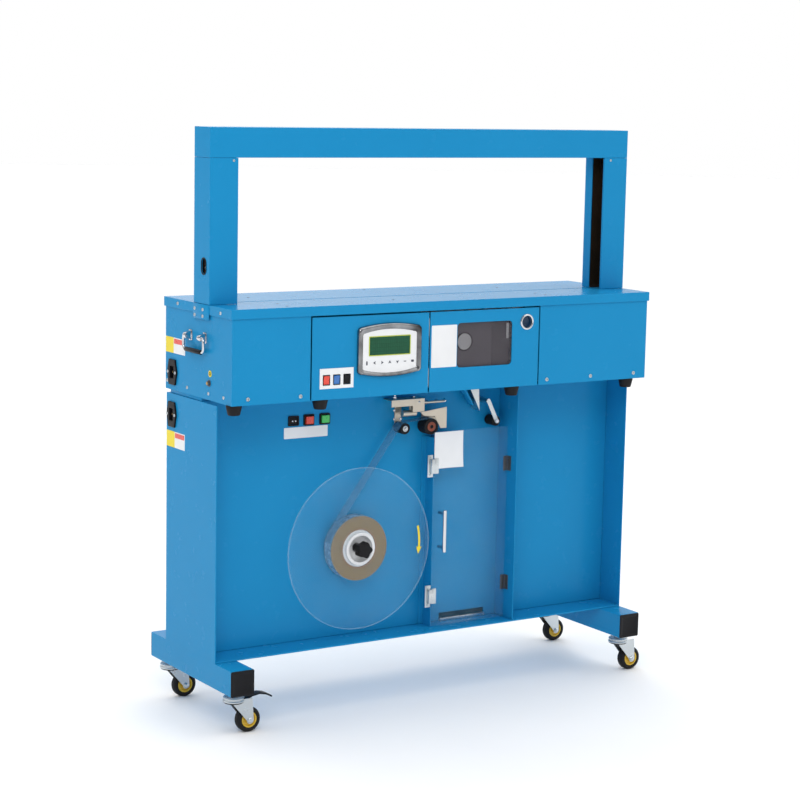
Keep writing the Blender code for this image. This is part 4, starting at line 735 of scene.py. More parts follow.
class STRAPPER_OT_screws(bpy.types.Operator):
    """Makes the screws of the covers, the table and the arch"""
    bl_idname = "strapper.screws"
    bl_label = "Screws"

    def execute(self, context):
        s = sizes()
        big, small = s.screw_radius, s.small_screw_radius
        front = Vector((0, -1, 0))
        shape = bmesh.new()
        for x, up in ((-0.4567, 0.0116), (-0.3436, 0.0105), (0.2345, 0.0105), (0.3465, 0.0115),
                      (0.4595, 0.0117)):
            add_screw(shape, (x, FRONT_Y, HOUSING_Z + up), front, big)
        for side in (-1, 1):
            out = Vector((side, 0, 0))
            for y, up in ((0.1045, 0.0165), (0.0185, 0.0127), (-0.0710, 0.0124), (-0.1325, 0.0123)):
                add_screw(shape, (-side * COVER_X, y, HOUSING_Z + up), out, big * 0.85)
            for y, down in ((0.0545, 0.0085), (-0.1235, 0.0105)):
                add_screw(shape, (-side * TABLE_LOW.x, y, TABLE_TOP - down), out, big * 0.85)
            for y, down in ((-0.0201, 0.0103), (-0.0530, 0.0103), (-0.0201, 0.0228), (-0.0530, 0.0228)):
                add_screw(shape, (-side * (TABLE_LOW.x - 0.0012), y, TABLE_TOP - down), out, big * 0.85)
        column_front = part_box("arch_left_column")[0].y
        for x in (-0.4435, 0.4495):
            add_screw(shape, (x, column_front, TABLE_TOP + 0.2706), front, small)
        add_piece("cover_screws", shape, "zinc", "machine")
        shape = bmesh.new()
        for x, y in ((-0.3525, 0.0305), (-0.3577, -0.0968), (-0.3625, -0.1431), (0.2462, -0.1002),
                     (0.2441, -0.1381), (-0.1060, -0.1110), (0.2420, 0.0305), (-0.0500, 0.0900)):
            add_rod(shape, "Z", (x, y), small, TABLE_TOP - SINK, TABLE_TOP + 0.0004, 0.0002, 20)
        add_piece("table_plugs", shape, "casting", "machine")
        back = Vector((0, 1, 0))
        shape = bmesh.new()
        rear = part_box("rear_cover")
        for x in spread(rear[0].x, rear[1].x, 5, 0.03):
            for z in (rear[0].z + 0.014, rear[1].z - 0.030):
                add_screw(shape, (x, rear[1].y, z), back, big * 0.85)
        stand_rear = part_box("stand_rear_cover")
        for x in (stand_rear[0].x + 0.02, 0.0, stand_rear[1].x - 0.02):
            for z in (stand_rear[0].z + 0.025, stand_rear[1].z - 0.025):
                add_screw(shape, (x, stand_rear[1].y, z), back, big * 0.85)
        add_piece("rear_screws", shape, "zinc", "machine")
        return {"FINISHED"}


class STRAPPER_OT_arch(bpy.types.Operator):
    """Makes the arch's side plates, its dark tape tracks and the porthole's trim"""
    bl_idname = "strapper.arch"
    bl_label = "Arch"

    def execute(self, context):
        for side, name in ((-1, "left"), (1, "right")):
            low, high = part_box(f"arch_{name}_column")
            outer = low.x if side < 0 else high.x
            shape = bmesh.new()
            add_box(shape, (min(outer, outer + side * 0.0012), low.y, TABLE_TOP - 0.0290),
                    (max(outer, outer + side * 0.0012), high.y, TABLE_TOP - GAP), 0.0004)
            add_piece(f"arch_{name}_plate", shape, "paint", "machine")
            shape = bmesh.new()
            if side < 0:
                deep, mouth = low.x + 0.0052, high.x - 0.002
            else:
                deep, mouth = high.x - 0.0052, low.x + 0.002
            add_prism(shape, "Z", track_outline(deep, mouth, side), low.z + 0.0004, high.z + 0.004)
            add_piece(f"arch_{name}_track", shape, "track", "machine")
            shape = bmesh.new()
            strip = deep - side * 0.010
            add_box(shape, (min(strip, strip - side * 0.0012), TRACK_FRONT + 0.0105, low.z + 0.0004),
                    (max(strip, strip - side * 0.0012), TRACK_FRONT + 0.0150, high.z + 0.004), 0.0003)
            add_piece(f"arch_{name}_strip", shape, "core", "machine")
        hole = Vector((0.0, -0.05425, TABLE_TOP + 0.072))
        shape = bmesh.new()
        outer = oval(hole.y, hole.z, 0.0105, 0.0165)
        inner = oval(hole.y, hole.z, 0.0086, 0.0146)
        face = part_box("arch_left_column")[0].x
        add_band(shape, "X", outer, inner, face - 0.0010, face + 0.0002)
        add_piece("porthole_trim", shape, "plastic", "machine")
        shape = bmesh.new()
        add_rod(shape, "X", (hole.y, hole.z - 0.004), 0.0042, face + 0.0040, face + 0.0060)
        add_piece("porthole_sensor", shape, "zinc", "machine")
        return {"FINISHED"}


TRACK_FRONT = -0.0722
TRACK_BACK = -0.0363


def track_outline(deep, mouth, side):
    """A channel's lining seen from above: a back and two walls, open towards the arch."""
    wall = 0.0010
    inside = deep - side * wall
    return [(deep, TRACK_FRONT), (mouth, TRACK_FRONT), (mouth, TRACK_FRONT + wall),
            (inside, TRACK_FRONT + wall), (inside, TRACK_BACK - wall), (mouth, TRACK_BACK - wall),
            (mouth, TRACK_BACK), (deep, TRACK_BACK)]


def oval(across, up, half_width, half_height):
    """An upright slot's outline with round ends."""
    straight = half_height - half_width
    return (arc((across, up + straight), half_width, 0, 180, 12)
            + arc((across, up - straight), half_width, 180, 360, 12))


# ---------------------------------------------------------------- side of the housing
HANDLE_LUG_REACH = 0.0062


class STRAPPER_OT_handles(bpy.types.Operator):
    """Makes the chromed knuckles and the black grips of the side handles"""
    bl_idname = "strapper.handles"
    bl_label = "Side handles"

    def execute(self, context):
        for side, name in ((-1, "left"), (1, "right")):
            low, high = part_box(f"{name}_handle")
            pivot = frame_joint(f"{name}_handle_swing")
            face = -side * COVER_X
            for end in (-1, 1):
                leg = (high.y + low.y) / 2 + end * 0.042
                inner = leg - end * 0.0074
                outer = leg - end * 0.0174
                shape = bmesh.new()
                reach = HANDLE_LUG_REACH
                barrel = arc((0.0, 0.0), reach, -70, 70, 10)
                outline = [(pivot.x + side * across, pivot.z + up) for across, up in barrel]
                outline += [(face + side * 0.0016, pivot.z + 0.0086),
                            (face + side * 0.0016, pivot.z - 0.0086)]
                add_prism(shape, "Y", outline, inner, outer, 0.0008)
                plate = rounded((leg - end * 0.0125 - 0.007, pivot.z - 0.0105),
                                (leg - end * 0.0125 + 0.007, pivot.z + 0.0105), 0.003)
                add_prism(shape, "X", plate, face - side * 0.0002, face + side * 0.0018, 0.0005)
                where = "front" if end < 0 else "rear"
                add_piece(f"{name}_handle_lug_{where}", shape, "chrome", "machine")
            shape = bmesh.new()
            grip = (pivot.x, low.z + 0.003)
            middle_y = (low.y + high.y) / 2
            half = 0.0330
            add_turned(shape, "Y", grip, [
                (0.0031, middle_y - half), (0.0038, middle_y - half), (0.0044, middle_y - half + 0.001),
                (0.0046, middle_y), (0.0044, middle_y + half - 0.001), (0.0038, middle_y + half),
                (0.0031, middle_y + half)], 24)
            add_piece(f"{name}_handle_grip", shape, "plastic", f"{name}_handle")
        return {"FINISHED"}


class STRAPPER_OT_inlets(bpy.types.Operator):
    """Makes the pins and screws of the two mains inlets"""
    bl_idname = "strapper.inlets"
    bl_label = "Mains inlets"

    def execute(self, context):
        for name in ("housing_inlet", "stand_inlet"):
            low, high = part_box(name)
            centre = (low + high) / 2
            shape = bmesh.new()
            for y, z in ((0.0030, 0.0), (-0.0022, 0.0068), (-0.0022, -0.0068)):
                add_box(shape, (low.x + 0.0040, centre.y + y - 0.0010, centre.z + z - 0.0020),
                        (low.x + 0.0175, centre.y + y + 0.0010, centre.z + z + 0.0020), 0.0005)
            add_piece(f"{name}_pins", shape, "brass", "machine")
            shape = bmesh.new()
            for side in (-1, 1):
                add_screw(shape, (low.x, centre.y + side * 0.0158, centre.z), (-1, 0, 0), 0.0030)
            add_piece(f"{name}_screws", shape, "zinc", "machine")
        return {"FINISHED"}


class STRAPPER_OT_side_labels(bpy.types.Operator):
    """Makes the blank labels and the earth post on the left side"""
    bl_idname = "strapper.side_labels"
    bl_label = "Side labels"

    def execute(self, context):
        housing, stand = COVER_X, STAND_LOW.x
        for name, face, first, middle_y, last, low, high in (
                ("housing", housing, 0.0285, 0.0775, 0.1110, HOUSING_Z + 0.0730, HOUSING_Z + 0.1036),
                ("stand", stand, 0.0261, 0.0695, 0.1045, STAND_Z - 0.1060, STAND_Z - 0.0744)):
            add_label(f"{name}_label_yellow", "X", face, -1, (middle_y, low), (last, high),
                      "arrow yellow")
            add_label(f"{name}_label_white", "X", face, -1, (first, low), (middle_y, high), "white")
            lift = face - sizes().label_thickness
            add_label(f"{name}_label_band", "X", lift, -1, (first + 0.002, high - 0.0115),
                      (middle_y - 0.002, high - 0.002), "red")
        dot = (-0.0767, HOUSING_Z + 0.051)
        shape = bmesh.new()
        add_rod(shape, "X", dot, 0.0062, COVER_X - 0.0006, COVER_X + SINK, 0.0001, 32)
        add_piece("earth_dot", shape, "arrow yellow", "machine")
        shape = bmesh.new()
        add_band(shape, "X", arc(dot, 0.0036, 0, 345, 23), arc(dot, 0.0028, 0, 345, 23),
                 COVER_X - 0.0009, COVER_X - 0.0004)
        add_box(shape, (COVER_X - 0.0009, dot[0] - 0.0003, dot[1] - 0.0004),
                (COVER_X - 0.0004, dot[0] + 0.0003, dot[1] + 0.0024))
        for row, half in enumerate((0.0018, 0.0012, 0.0006)):
            up = dot[1] - 0.0004 - 0.0008 * row
            add_box(shape, (COVER_X - 0.0009, dot[0] - half, up - 0.0002),
                    (COVER_X - 0.0004, dot[0] + half, up + 0.0002))
        add_piece("earth_sign", shape, "plastic", "machine")
        post = (-0.0735, HOUSING_Z + 0.0325)
        shape = bmesh.new()
        add_rod(shape, "X", post, 0.0064, COVER_X - 0.0012, COVER_X + SINK, 0.0003, 32)
        add_prism(shape, "X", arc(post, 0.0052, 0, 300, 5), COVER_X - 0.0044, COVER_X - 0.0013, 0.0005)
        add_piece("earth_nut", shape, "casting", "machine")
        shape = bmesh.new()
        add_rod(shape, "X", post, 0.0028, COVER_X - 0.0060, COVER_X - 0.0040, 0.0006, 24)
        add_piece("earth_stud", shape, "brass", "machine")
        return {"FINISHED"}


def add_label(name, axis, face, out, low, high, finish, corner=0.0012, body="machine"):
    """A thin blank label with round corners, pressed onto a face."""
    shape = bmesh.new()
    thick = sizes().label_thickness
    add_prism(shape, axis, rounded(low, high, corner), face - out * 0.0001, face + out * thick, 0.0001, 1)
    return add_piece(name, shape, finish, body)


# ---------------------------------------------------------------- front of the housing
SCREEN_X = -0.1475


def bulged(half_width, low_side, high_side, bulge_low, bulge_high, corner, steps=14):
    """A controller's outline: upright sides, arched top and bottom, and round corners."""
    reach = half_width - corner

    def curve(across, edge, bulge):
        return edge + bulge * (1.0 - (across / half_width) ** 2)

    high_end = curve(reach, high_side, bulge_high)
    low_end = curve(reach, low_side, -bulge_low)
    top = [(reach - 2 * reach * step / steps) for step in range(1, steps)]
    outline = arc((reach, high_end - corner), corner, 0, 90, 6)
    outline += [(across, curve(across, high_side, bulge_high)) for across in top]
    outline += arc((-reach, high_end - corner), corner, 90, 180, 6)
    outline += arc((-reach, low_end + corner), corner, 180, 270, 6)
    outline += [(-across, curve(across, low_side, -bulge_low)) for across in top]
    outline += arc((reach, low_end + corner), corner, 270, 360, 6)
    return outline


def placed(outline, across, up):
    return [(point[0] + across, point[1] + up) for point in outline]


class STRAPPER_OT_controller(bpy.types.Operator):
    """Makes the controller's chromed bezel, its face, display and keys"""
    bl_idname = "strapper.controller"
    bl_label = "Controller"

    def execute(self, context):
        low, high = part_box("controller")
        spot = (SCREEN_X, (low.z + high.z) / 2)
        half = (high.x - low.x) / 2
        side = 0.0445
        base, crest = FRONT_Y - 0.0001, low.y
        rings = []
        for inset, y, corner in ((0.0, base, 0.0085), (0.0, base - 0.0035, 0.0085),
                                 (0.0012, crest + 0.0014, 0.0078), (0.0034, crest, 0.0070),
                                 (0.0062, crest + 0.0006, 0.0060), (0.0096, crest + 0.0028, 0.0050),
                                 (0.0112, crest + 0.0042, 0.0045), (0.0112, base, 0.0045)):
            outline = bulged(half - inset, -side + inset * 0.72, side - inset * 1.08, 0.008, 0.008,
                             corner)
            rings.append((placed(outline, *spot), y))
        shape = bmesh.new()
        add_loft(shape, "Y", rings)
        bezel = add_piece("controller_bezel", shape, "bezel", "machine", 50.0)
        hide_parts("controller")
        face = crest + 0.0040
        shape = bmesh.new()
        outline = bulged(half - 0.0110, -side + 0.0110 * 0.72, side - 0.0110 * 1.08, 0.008, 0.008, 0.0045)
        add_prism(shape, "Y", placed(outline, *spot), face, base)
        add_piece("controller_face", shape, "white", "machine")
        left, right = -0.0465, 0.0455
        lower, upper = spot[1] - 0.0093, spot[1] + 0.0260
        shape = bmesh.new()
        outer = rounded((SCREEN_X + left - 0.0016, lower - 0.0016),
                        (SCREEN_X + right + 0.0016, upper + 0.0016), 0.0014)
        inner = rounded((SCREEN_X + left, lower), (SCREEN_X + right, upper), 0.0006)
        add_band(shape, "Y", outer, inner, face - 0.0006, face + 0.0003)
        add_piece("display_border", shape, "display edge", "machine")
        shape = bmesh.new()
        glass = rounded((SCREEN_X + left + 0.0001, lower + 0.0001),
                        (SCREEN_X + right - 0.0001, upper - 0.0001), 0.0006)
        add_prism(shape, "Y", glass, face - 0.0002, face + 0.0003)
        add_piece("display_glass", shape, "display", "machine")
        shape = bmesh.new()
        for number, x in enumerate(spread(SCREEN_X - 0.0522, SCREEN_X + 0.0522, 7, 0.0)):
            add_key(shape, number, x, spot[1] - 0.0242, face)
        add_piece("controller_keys", shape, "key blue", "machine")
        return {"FINISHED"}


def add_key(shape, number, x, z, face):
    """A printed key of one of four plain signs: a bar, an arrow, an upright arrow or a dot."""
    signs = {
        0: rounded((-0.0015, -0.0040), (0.0015, 0.0040), 0.0010),
        1: [(-0.0030, 0.0), (0.0024, -0.0032), (0.0012, 0.0), (0.0024, 0.0032)],
        2: [(0.0030, 0.0), (-0.0024, 0.0032), (-0.0012, 0.0), (-0.0024, -0.0032)],
        3: [(0.0, 0.0034), (-0.0032, -0.0024), (0.0, -0.0010), (0.0032, -0.0024)],
        4: [(0.0, -0.0034), (0.0032, 0.0024), (0.0, 0.0010), (-0.0032, 0.0024)],
        5: rounded((-0.0028, -0.0007), (0.0028, 0.0007), 0.0005),
        6: rounded((-0.0030, -0.0022), (0.0030, 0.0022), 0.0010),
    }
    add_prism(shape, "Y", placed(signs[number], x, z), face - 0.0005, face + 0.0002)


def add_pierced(shape, axis, low, high, holes, start, end):
    """A flat plate with rectangular holes, cut along the holes' edges and extruded."""
    corners = [shape.verts.new(lay(axis, start, *point)) for point in
               ((low[0], low[1]), (high[0], low[1]), (high[0], high[1]), (low[0], high[1]))]
    shape.faces.new(corners)
    for hole_low, hole_high in holes:
        for point in (hole_low, hole_high):
            for normal in (lay(axis, 0, 1, 0), lay(axis, 0, 0, 1)):
                everything = shape.verts[:] + shape.edges[:] + shape.faces[:]
                bmesh.ops.bisect_plane(shape, geom=everything, plane_co=lay(axis, start, *point),
                                       plane_no=normal)

    def inside(face):
        spot = face.calc_center_median()
        across, up = {"X": (spot.y, spot.z), "Y": (spot.x, spot.z), "Z": (spot.x, spot.y)}[axis]
        return any(a[0] < across < b[0] and a[1] < up < b[1] for a, b in holes)

    cut = [face for face in shape.faces if inside(face)]
    bmesh.ops.delete(shape, geom=cut, context="FACES")
    pulled = bmesh.ops.extrude_face_region(shape, geom=shape.faces[:])["geom"]
    moved = [item for item in pulled if isinstance(item, bmesh.types.BMVert)]
    bmesh.ops.translate(shape, verts=moved, vec=lay(axis, end - start, 0.0, 0.0))


def opening(name, margin):
    low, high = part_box(name)
    return ((low.x - margin, low.z - margin), (high.x + margin, high.z + margin))


class STRAPPER_OT_switches(bpy.types.Operator):
    """Makes the switches' plate, frames and blank label"""
    bl_idname = "strapper.switches"
    bl_label = "Switches"

    def execute(self, context):
        holes = [opening(f"rocker_{colour}", 0.0006) for colour in ("red", "blue", "black")]
        low = (-0.3022, HOUSING_Z + 0.0215)
        high = (-0.2272, HOUSING_Z + 0.0605)
        shape = bmesh.new()
        add_pierced(shape, "Y", low, high, holes, FRONT_Y - 0.0001, FRONT_Y - 0.0009)
        add_piece("switch_plate", shape, "white", "machine")
        for hole, colour in zip(holes, ("red", "blue", "black")):
            shape = bmesh.new()
            outer = rounded((hole[0][0] - 0.0010, hole[0][1] - 0.0010),
                            (hole[1][0] + 0.0010, hole[1][1] + 0.0010), 0.0012)
            inner = rounded(hole[0], hole[1], 0.0004)
            add_band(shape, "Y", outer, inner, FRONT_Y - 0.0016, FRONT_Y - 0.0002, 0.0002)
            add_piece(f"rocker_frame_{colour}", shape, "plastic", "machine")
        for name in ("stand_rocker", "stop_button", "start_button"):
            hole = opening(name, 0.0006)
            shape = bmesh.new()
            outer = rounded((hole[0][0] - 0.0030, hole[0][1] - 0.0030),
                            (hole[1][0] + 0.0030, hole[1][1] + 0.0030), 0.0022)
            inner = rounded(hole[0], hole[1], 0.0008)
            add_band(shape, "Y", outer, inner, WALL_Y - 0.0026, WALL_Y + SINK / 2, 0.0006)
            add_piece(f"{name}_frame", shape, "plastic", "machine")
        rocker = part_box("stand_rocker")
        centre = (rocker[0] + rocker[1]) / 2
        shape = bmesh.new()
        for x in (-0.0034, 0.0034):
            add_rod(shape, "Y", (centre.x + x, centre.z), 0.0013, rocker[0].y - 0.0001,
                    rocker[0].y + 0.0030, 0.0001, 20)
        add_piece("stand_rocker_marks", shape, "white", "stand_rocker")
        add_label("stand_switch_label", "Y", WALL_Y, -1, (-0.3085, STAND_Z - 0.0860),
                  (-0.2095, STAND_Z - 0.0640), "white")
        return {"FINISHED"}


class STRAPPER_OT_window(bpy.types.Operator):
    """Makes the window door's label, ring, cup and hinges, and what shows behind its pane"""
    bl_idname = "strapper.window"
    bl_label = "Window door"

    def execute(self, context):
        add_label("door_label", "Y", FRONT_Y, -1, (-0.0489, HOUSING_Z + 0.0490),
                  (0.0108, HOUSING_Z + 0.1326), "white", body="window_door")
        pane_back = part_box("window_pane")[1].y
        shape = bmesh.new()
        place = (0.0335, HOUSING_Z + 0.0970)
        add_turned(shape, "Y", place, [(0.0, pane_back + 0.0008), (0.0158, pane_back + 0.0008),
                                       (0.0164, pane_back + 0.0014), (0.0164, pane_back + 0.0030),
                                       (0.0, pane_back + 0.0030)], 48, False)
        add_piece("window_dial", shape, "white", "window_door")
        shape = bmesh.new()
        add_turned(shape, "Y", place, [(0.0168, pane_back + 0.0010), (0.0192, pane_back + 0.0010),
                                       (0.0192, pane_back + 0.0030), (0.0168, pane_back + 0.0030)], 48)
        add_piece("window_dial_ring", shape, "plastic", "window_door")
        shape = bmesh.new()
        add_box(shape, (0.1345, pane_back + 0.0008, HOUSING_Z + 0.0990),
                (0.1405, pane_back + 0.0026, HOUSING_Z + 0.1300), 0.0005)
        add_piece("window_bar", shape, "white", "window_door")
        # Grey sheets behind the pane stand in for the parts inside the housing; their darkness, deeper on the
        # right-hand sheet, is painted shade.
        shape = bmesh.new()
        add_box(shape, (0.0130, pane_back + 0.0036, HOUSING_Z + 0.0460),
                (0.1003, pane_back + 0.0046, HOUSING_Z + 0.1360), 0.0003)
        add_piece("window_screen", shape, "screen", "window_door")
        shape = bmesh.new()
        add_box(shape, (0.1006, pane_back + 0.0040, HOUSING_Z + 0.0460),
                (0.1445, pane_back + 0.0050, HOUSING_Z + 0.1360), 0.0003)
        add_piece("window_screen_side", shape, "painted shade screen", "window_door")
        port = (0.1805, HOUSING_Z + 0.131)
        shape = bmesh.new()
        ring = [(0.0119, FRONT_Y + 0.0024), (0.0119, FRONT_Y - 0.0012), (0.0126, FRONT_Y - 0.0022),
                (0.0142, FRONT_Y - 0.0026), (0.0158, FRONT_Y - 0.0018), (0.0165, FRONT_Y - 0.0001),
                (0.0125, FRONT_Y - 0.0001), (0.0124, FRONT_Y + 0.0024)]
        add_turned(shape, "Y", port, ring, 48)
        add_piece("port_ring", shape, "chrome", "window_door")
        # The cup's inside is a dark copy of the body's blue, painted shade in the recess.
        shape = bmesh.new()
        cup = [(0.0118, FRONT_Y + 0.0022), (0.0118, FRONT_Y + 0.0110), (0.0, FRONT_Y + 0.0110),
               (0.0, FRONT_Y + 0.0100), (0.0060, FRONT_Y + 0.0094), (0.0108, FRONT_Y + 0.0080),
               (0.0112, FRONT_Y + 0.0022)]
        add_turned(shape, "Y", port, cup, 48)
        add_piece("port_cup", shape, "blue in painted shade", "window_door")
        shape = bmesh.new()
        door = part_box("window_door")
        for z in (door[0].z + 0.030, door[1].z - 0.030):
            axis = frame_joint("window_door_hinge")
            add_rod(shape, "Z", (axis.x + 0.0008, FRONT_Y + 0.0062), 0.0026, z - 0.018, z + 0.018, 0.0004)
            add_box(shape, (axis.x + 0.0012, FRONT_Y + 0.0022, z - 0.0175),
                    (axis.x + 0.0180, FRONT_Y + 0.0034, z + 0.0175), 0.0003)
        add_piece("window_hinges", shape, "zinc", "window_door")
        return {"FINISHED"}


# ---------------------------------------------------------------- reel and tape path
class STRAPPER_OT_reel(bpy.types.Operator):
    """Makes the film roll with its paper core, the disc's rim and its arrow"""
    bl_idname = "strapper.reel"
    bl_label = "Reel"

    def execute(self, context):
        s = sizes()
        spot = (REEL.x, REEL.z)
        low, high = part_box("film_roll")
        radius = (high.x - low.x) / 2
        bore = 0.0381
        core = bore + s.core_wall
        shape = bmesh.new()
        add_turned(shape, "Y", spot, [
            (core + 0.0001, low.y + 0.0003), (radius - 0.0006, low.y + 0.0003), (radius, low.y + 0.0008),
            (radius, high.y - 0.0008), (radius - 0.0006, high.y - 0.0003),
            (core + 0.0001, high.y - 0.0003)], 128)
        roll = add_piece("film_winding", shape, "film", "reel", 25.0)
        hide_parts("film_roll")
        shape = bmesh.new()
        add_turned(shape, "Y", spot, [(radius + 0.0001, low.y + 0.0012), (radius + 0.0003, low.y + 0.0012),
                                      (radius + 0.0003, high.y - 0.0012),
                                      (radius + 0.0001, high.y - 0.0012)], 128)
        add_piece("film_outside", shape, "film face", "reel", angle=25.0)
        shape = bmesh.new()
        add_turned(shape, "Y", spot, [(bore, low.y), (core, low.y), (core, high.y), (bore, high.y)], 96)
        add_piece("film_core", shape, "core", "reel", angle=25.0)
        disc_low, disc_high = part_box("reel_disc")
        rim = (disc_high.x - disc_low.x) / 2
        # A thin ring over the disc's rim, in a lighter and less clear finish that paints the edge's highlight.
        shape = bmesh.new()
        edge = [(rim - 0.0016, disc_low.y - 0.0002), (rim - 0.0004, disc_low.y - 0.0002),
                (rim + 0.0002, disc_low.y + 0.0006), (rim + 0.0002, disc_high.y - 0.0006),
                (rim - 0.0004, disc_high.y + 0.0001), (rim - 0.0016, disc_high.y + 0.0001)]
        add_turned(shape, "Y", spot, edge, 160)
        add_piece("reel_disc_rim", shape, "clear edge highlight", "reel", 25.0)
        shape = bmesh.new()
        far, near = 0.1434, 0.1388
        outline = arc(spot, far, 14.0, -4.0, 16)
        head = [(spot[0] + math.cos(math.radians(angle)) * reach,
                 spot[1] + math.sin(math.radians(angle)) * reach)
                for reach, angle in ((0.1474, -4.0), (0.1410, -10.0), (0.1346, -4.0))]
        outline += head + arc(spot, near, -4.0, 14.0, 16)
        add_prism(shape, "Y", outline, disc_low.y - 0.0004, disc_low.y - 0.00002)
        add_piece("reel_arrow", shape, "arrow yellow", "reel")
        return {"FINISHED"}


GUIDE = middle("guide_roller")
PINCH = middle("pinch_roller")


def tape_line():
    """The tape's run seen from the front: off the reel, over two rollers and into the pool."""
    roll, top = 0.0655, 0.0118
    pinch = 0.0168
    centre, guide = Vector((REEL.x, REEL.z)), Vector((GUIDE.x, GUIDE.z))
    run = guide - centre
    turn = math.degrees(math.atan2(run.y, run.x) + math.acos((roll - top) / run.length))
    line = arc(tuple(centre), roll + 0.0008, turn + 24, turn, 8)
    line += arc(tuple(guide), top, turn, 92, 10)
    line += arc((PINCH.x, PINCH.z), pinch, 92, 0, 12)
    line.append((PINCH.x + pinch, PINCH.z - 0.0350))
    return line


class STRAPPER_OT_tape(bpy.types.Operator):
    """Makes the tape's run from the reel over the guide roller to the pinch roller"""
    bl_idname = "strapper.tape"
    bl_label = "Tape"

    def execute(self, context):
        line = tape_line()
        low, high = TAPE_FRONT + 0.0006, TAPE_BACK - 0.0006
        shape = bmesh.new()
        points = [shape.verts.new((x, low, z)) for x, z in line]
        edges = [shape.edges.new(pair) for pair in zip(points, points[1:])]
        pulled = bmesh.ops.extrude_edge_only(shape, edges=edges)["geom"]
        moved = [item for item in pulled if isinstance(item, bmesh.types.BMVert)]
        bmesh.ops.translate(shape, verts=moved, vec=(0.0, high - low, 0.0))
        bmesh.ops.solidify(shape, geom=shape.faces[:], thickness=sizes().film_thickness)
        tape = add_piece("film_tape", shape, "tape", "machine", 60.0)
        return {"FINISHED"}


class STRAPPER_OT_guides(bpy.types.Operator):
    """Makes the screws, collars, hubs and pin ends of the tape guides"""
    bl_idname = "strapper.guides"
    bl_label = "Tape guides"

    def execute(self, context):
        low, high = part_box("guide_bracket")
        top = high.z
        shape = bmesh.new()
        add_rod(shape, "Z", (low.x + 0.017, (low.y + high.y) / 2), 0.0044, top - SINK, top + 0.0052, 0.0012)
        add_rod(shape, "Z", (low.x + 0.017, (low.y + high.y) / 2), 0.0026, top + 0.0050, top + 0.0085,
                0.0008)
        add_rod(shape, "Z", (low.x + 0.0620, (low.y + high.y) / 2), 0.0036, top - SINK, top + 0.0040,
                0.0010)
        for x, down in ((0.0060, 0.0200), (0.0060, 0.0380), (0.0220, 0.0380), (0.0660, 0.0070)):
            add_screw(shape, (low.x + x, low.y, top - down), (0, -1, 0), 0.0026)
        add_piece("bracket_screws", shape, "chrome", "machine")
        shape = bmesh.new()
        rod = Vector((high.x, 0.0, STAND_Z - 0.028))
        middle_y = rod_place().y
        for start, length, radius in ((-0.0440, 0.0050, 0.0052), (-0.0180, 0.0040, 0.0046)):
            add_rod(shape, "X", (middle_y, rod.z), radius, rod.x + start, rod.x + start + length, 0.0008)
        add_turned(shape, "X", (middle_y, rod.z), ball_profile(rod.x - 0.0005, 0.0044), 24, False)
        add_piece("bracket_rod_trim", shape, "chrome", "machine")
        for name, hub, bore in (("pinch_roller", 0.0098, 0.0036), ("guide_roller", 0.0060, 0.0032)):
            place = middle(name)
            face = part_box(name)[0].y
            shape = bmesh.new()
            add_turned(shape, "Y", (place.x, place.z), [
                (bore, face + 0.0006), (bore, face - 0.0004), (bore + 0.0006, face - 0.0009),
                (hub - 0.0006, face - 0.0009), (hub, face - 0.0004), (hub, face + 0.0006)], 40)
            add_piece(f"{name}_hub", shape, "hub brown" if name == "pinch_roller" else "zinc", name)
        shape = bmesh.new()
        place = middle("guide_roller")
        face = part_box("guide_roller")[0].y
        add_rod(shape, "Y", (place.x, place.z), 0.0027, face - 0.0030, face - 0.0002, 0.0008)
        add_piece("guide_roller_pin", shape, "chrome", "machine")
        place = middle("pinch_roller")
        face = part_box("pinch_roller")[0].y
        shape = bmesh.new()
        add_rod(shape, "Y", (place.x, place.z), 0.0034, face - 0.0024, face - 0.0011, 0.0005)
        add_piece("pinch_roller_cap", shape, "plastic", "machine")
        shape = bmesh.new()
        place = middle("dancer_roller")
        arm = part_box("dancer_arm")[0].y
        add_rod(shape, "Y", (place.x, place.z), 0.0040, arm - 0.0036, arm + SINK, 0.0010)
        add_piece("dancer_nut", shape, "white", "dancer_arm")
        return {"FINISHED"}


def rod_place():
    low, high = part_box("guide_bracket")
    return Vector((high.x, low.y + 0.0095, 0.0))


def ball_profile(start, radius):
    """A ball's profile from pole to pole, its near pole at the start."""
    points = []
    for step in range(9):
        angle = math.pi * step / 8
        points.append((radius * math.sin(angle), start + radius - radius * math.cos(angle)))
    return points


# ---------------------------------------------------------------- tape pool
UPPER_DOWN = 0.0930     # pool door's top to its upper hinge and its upper catch


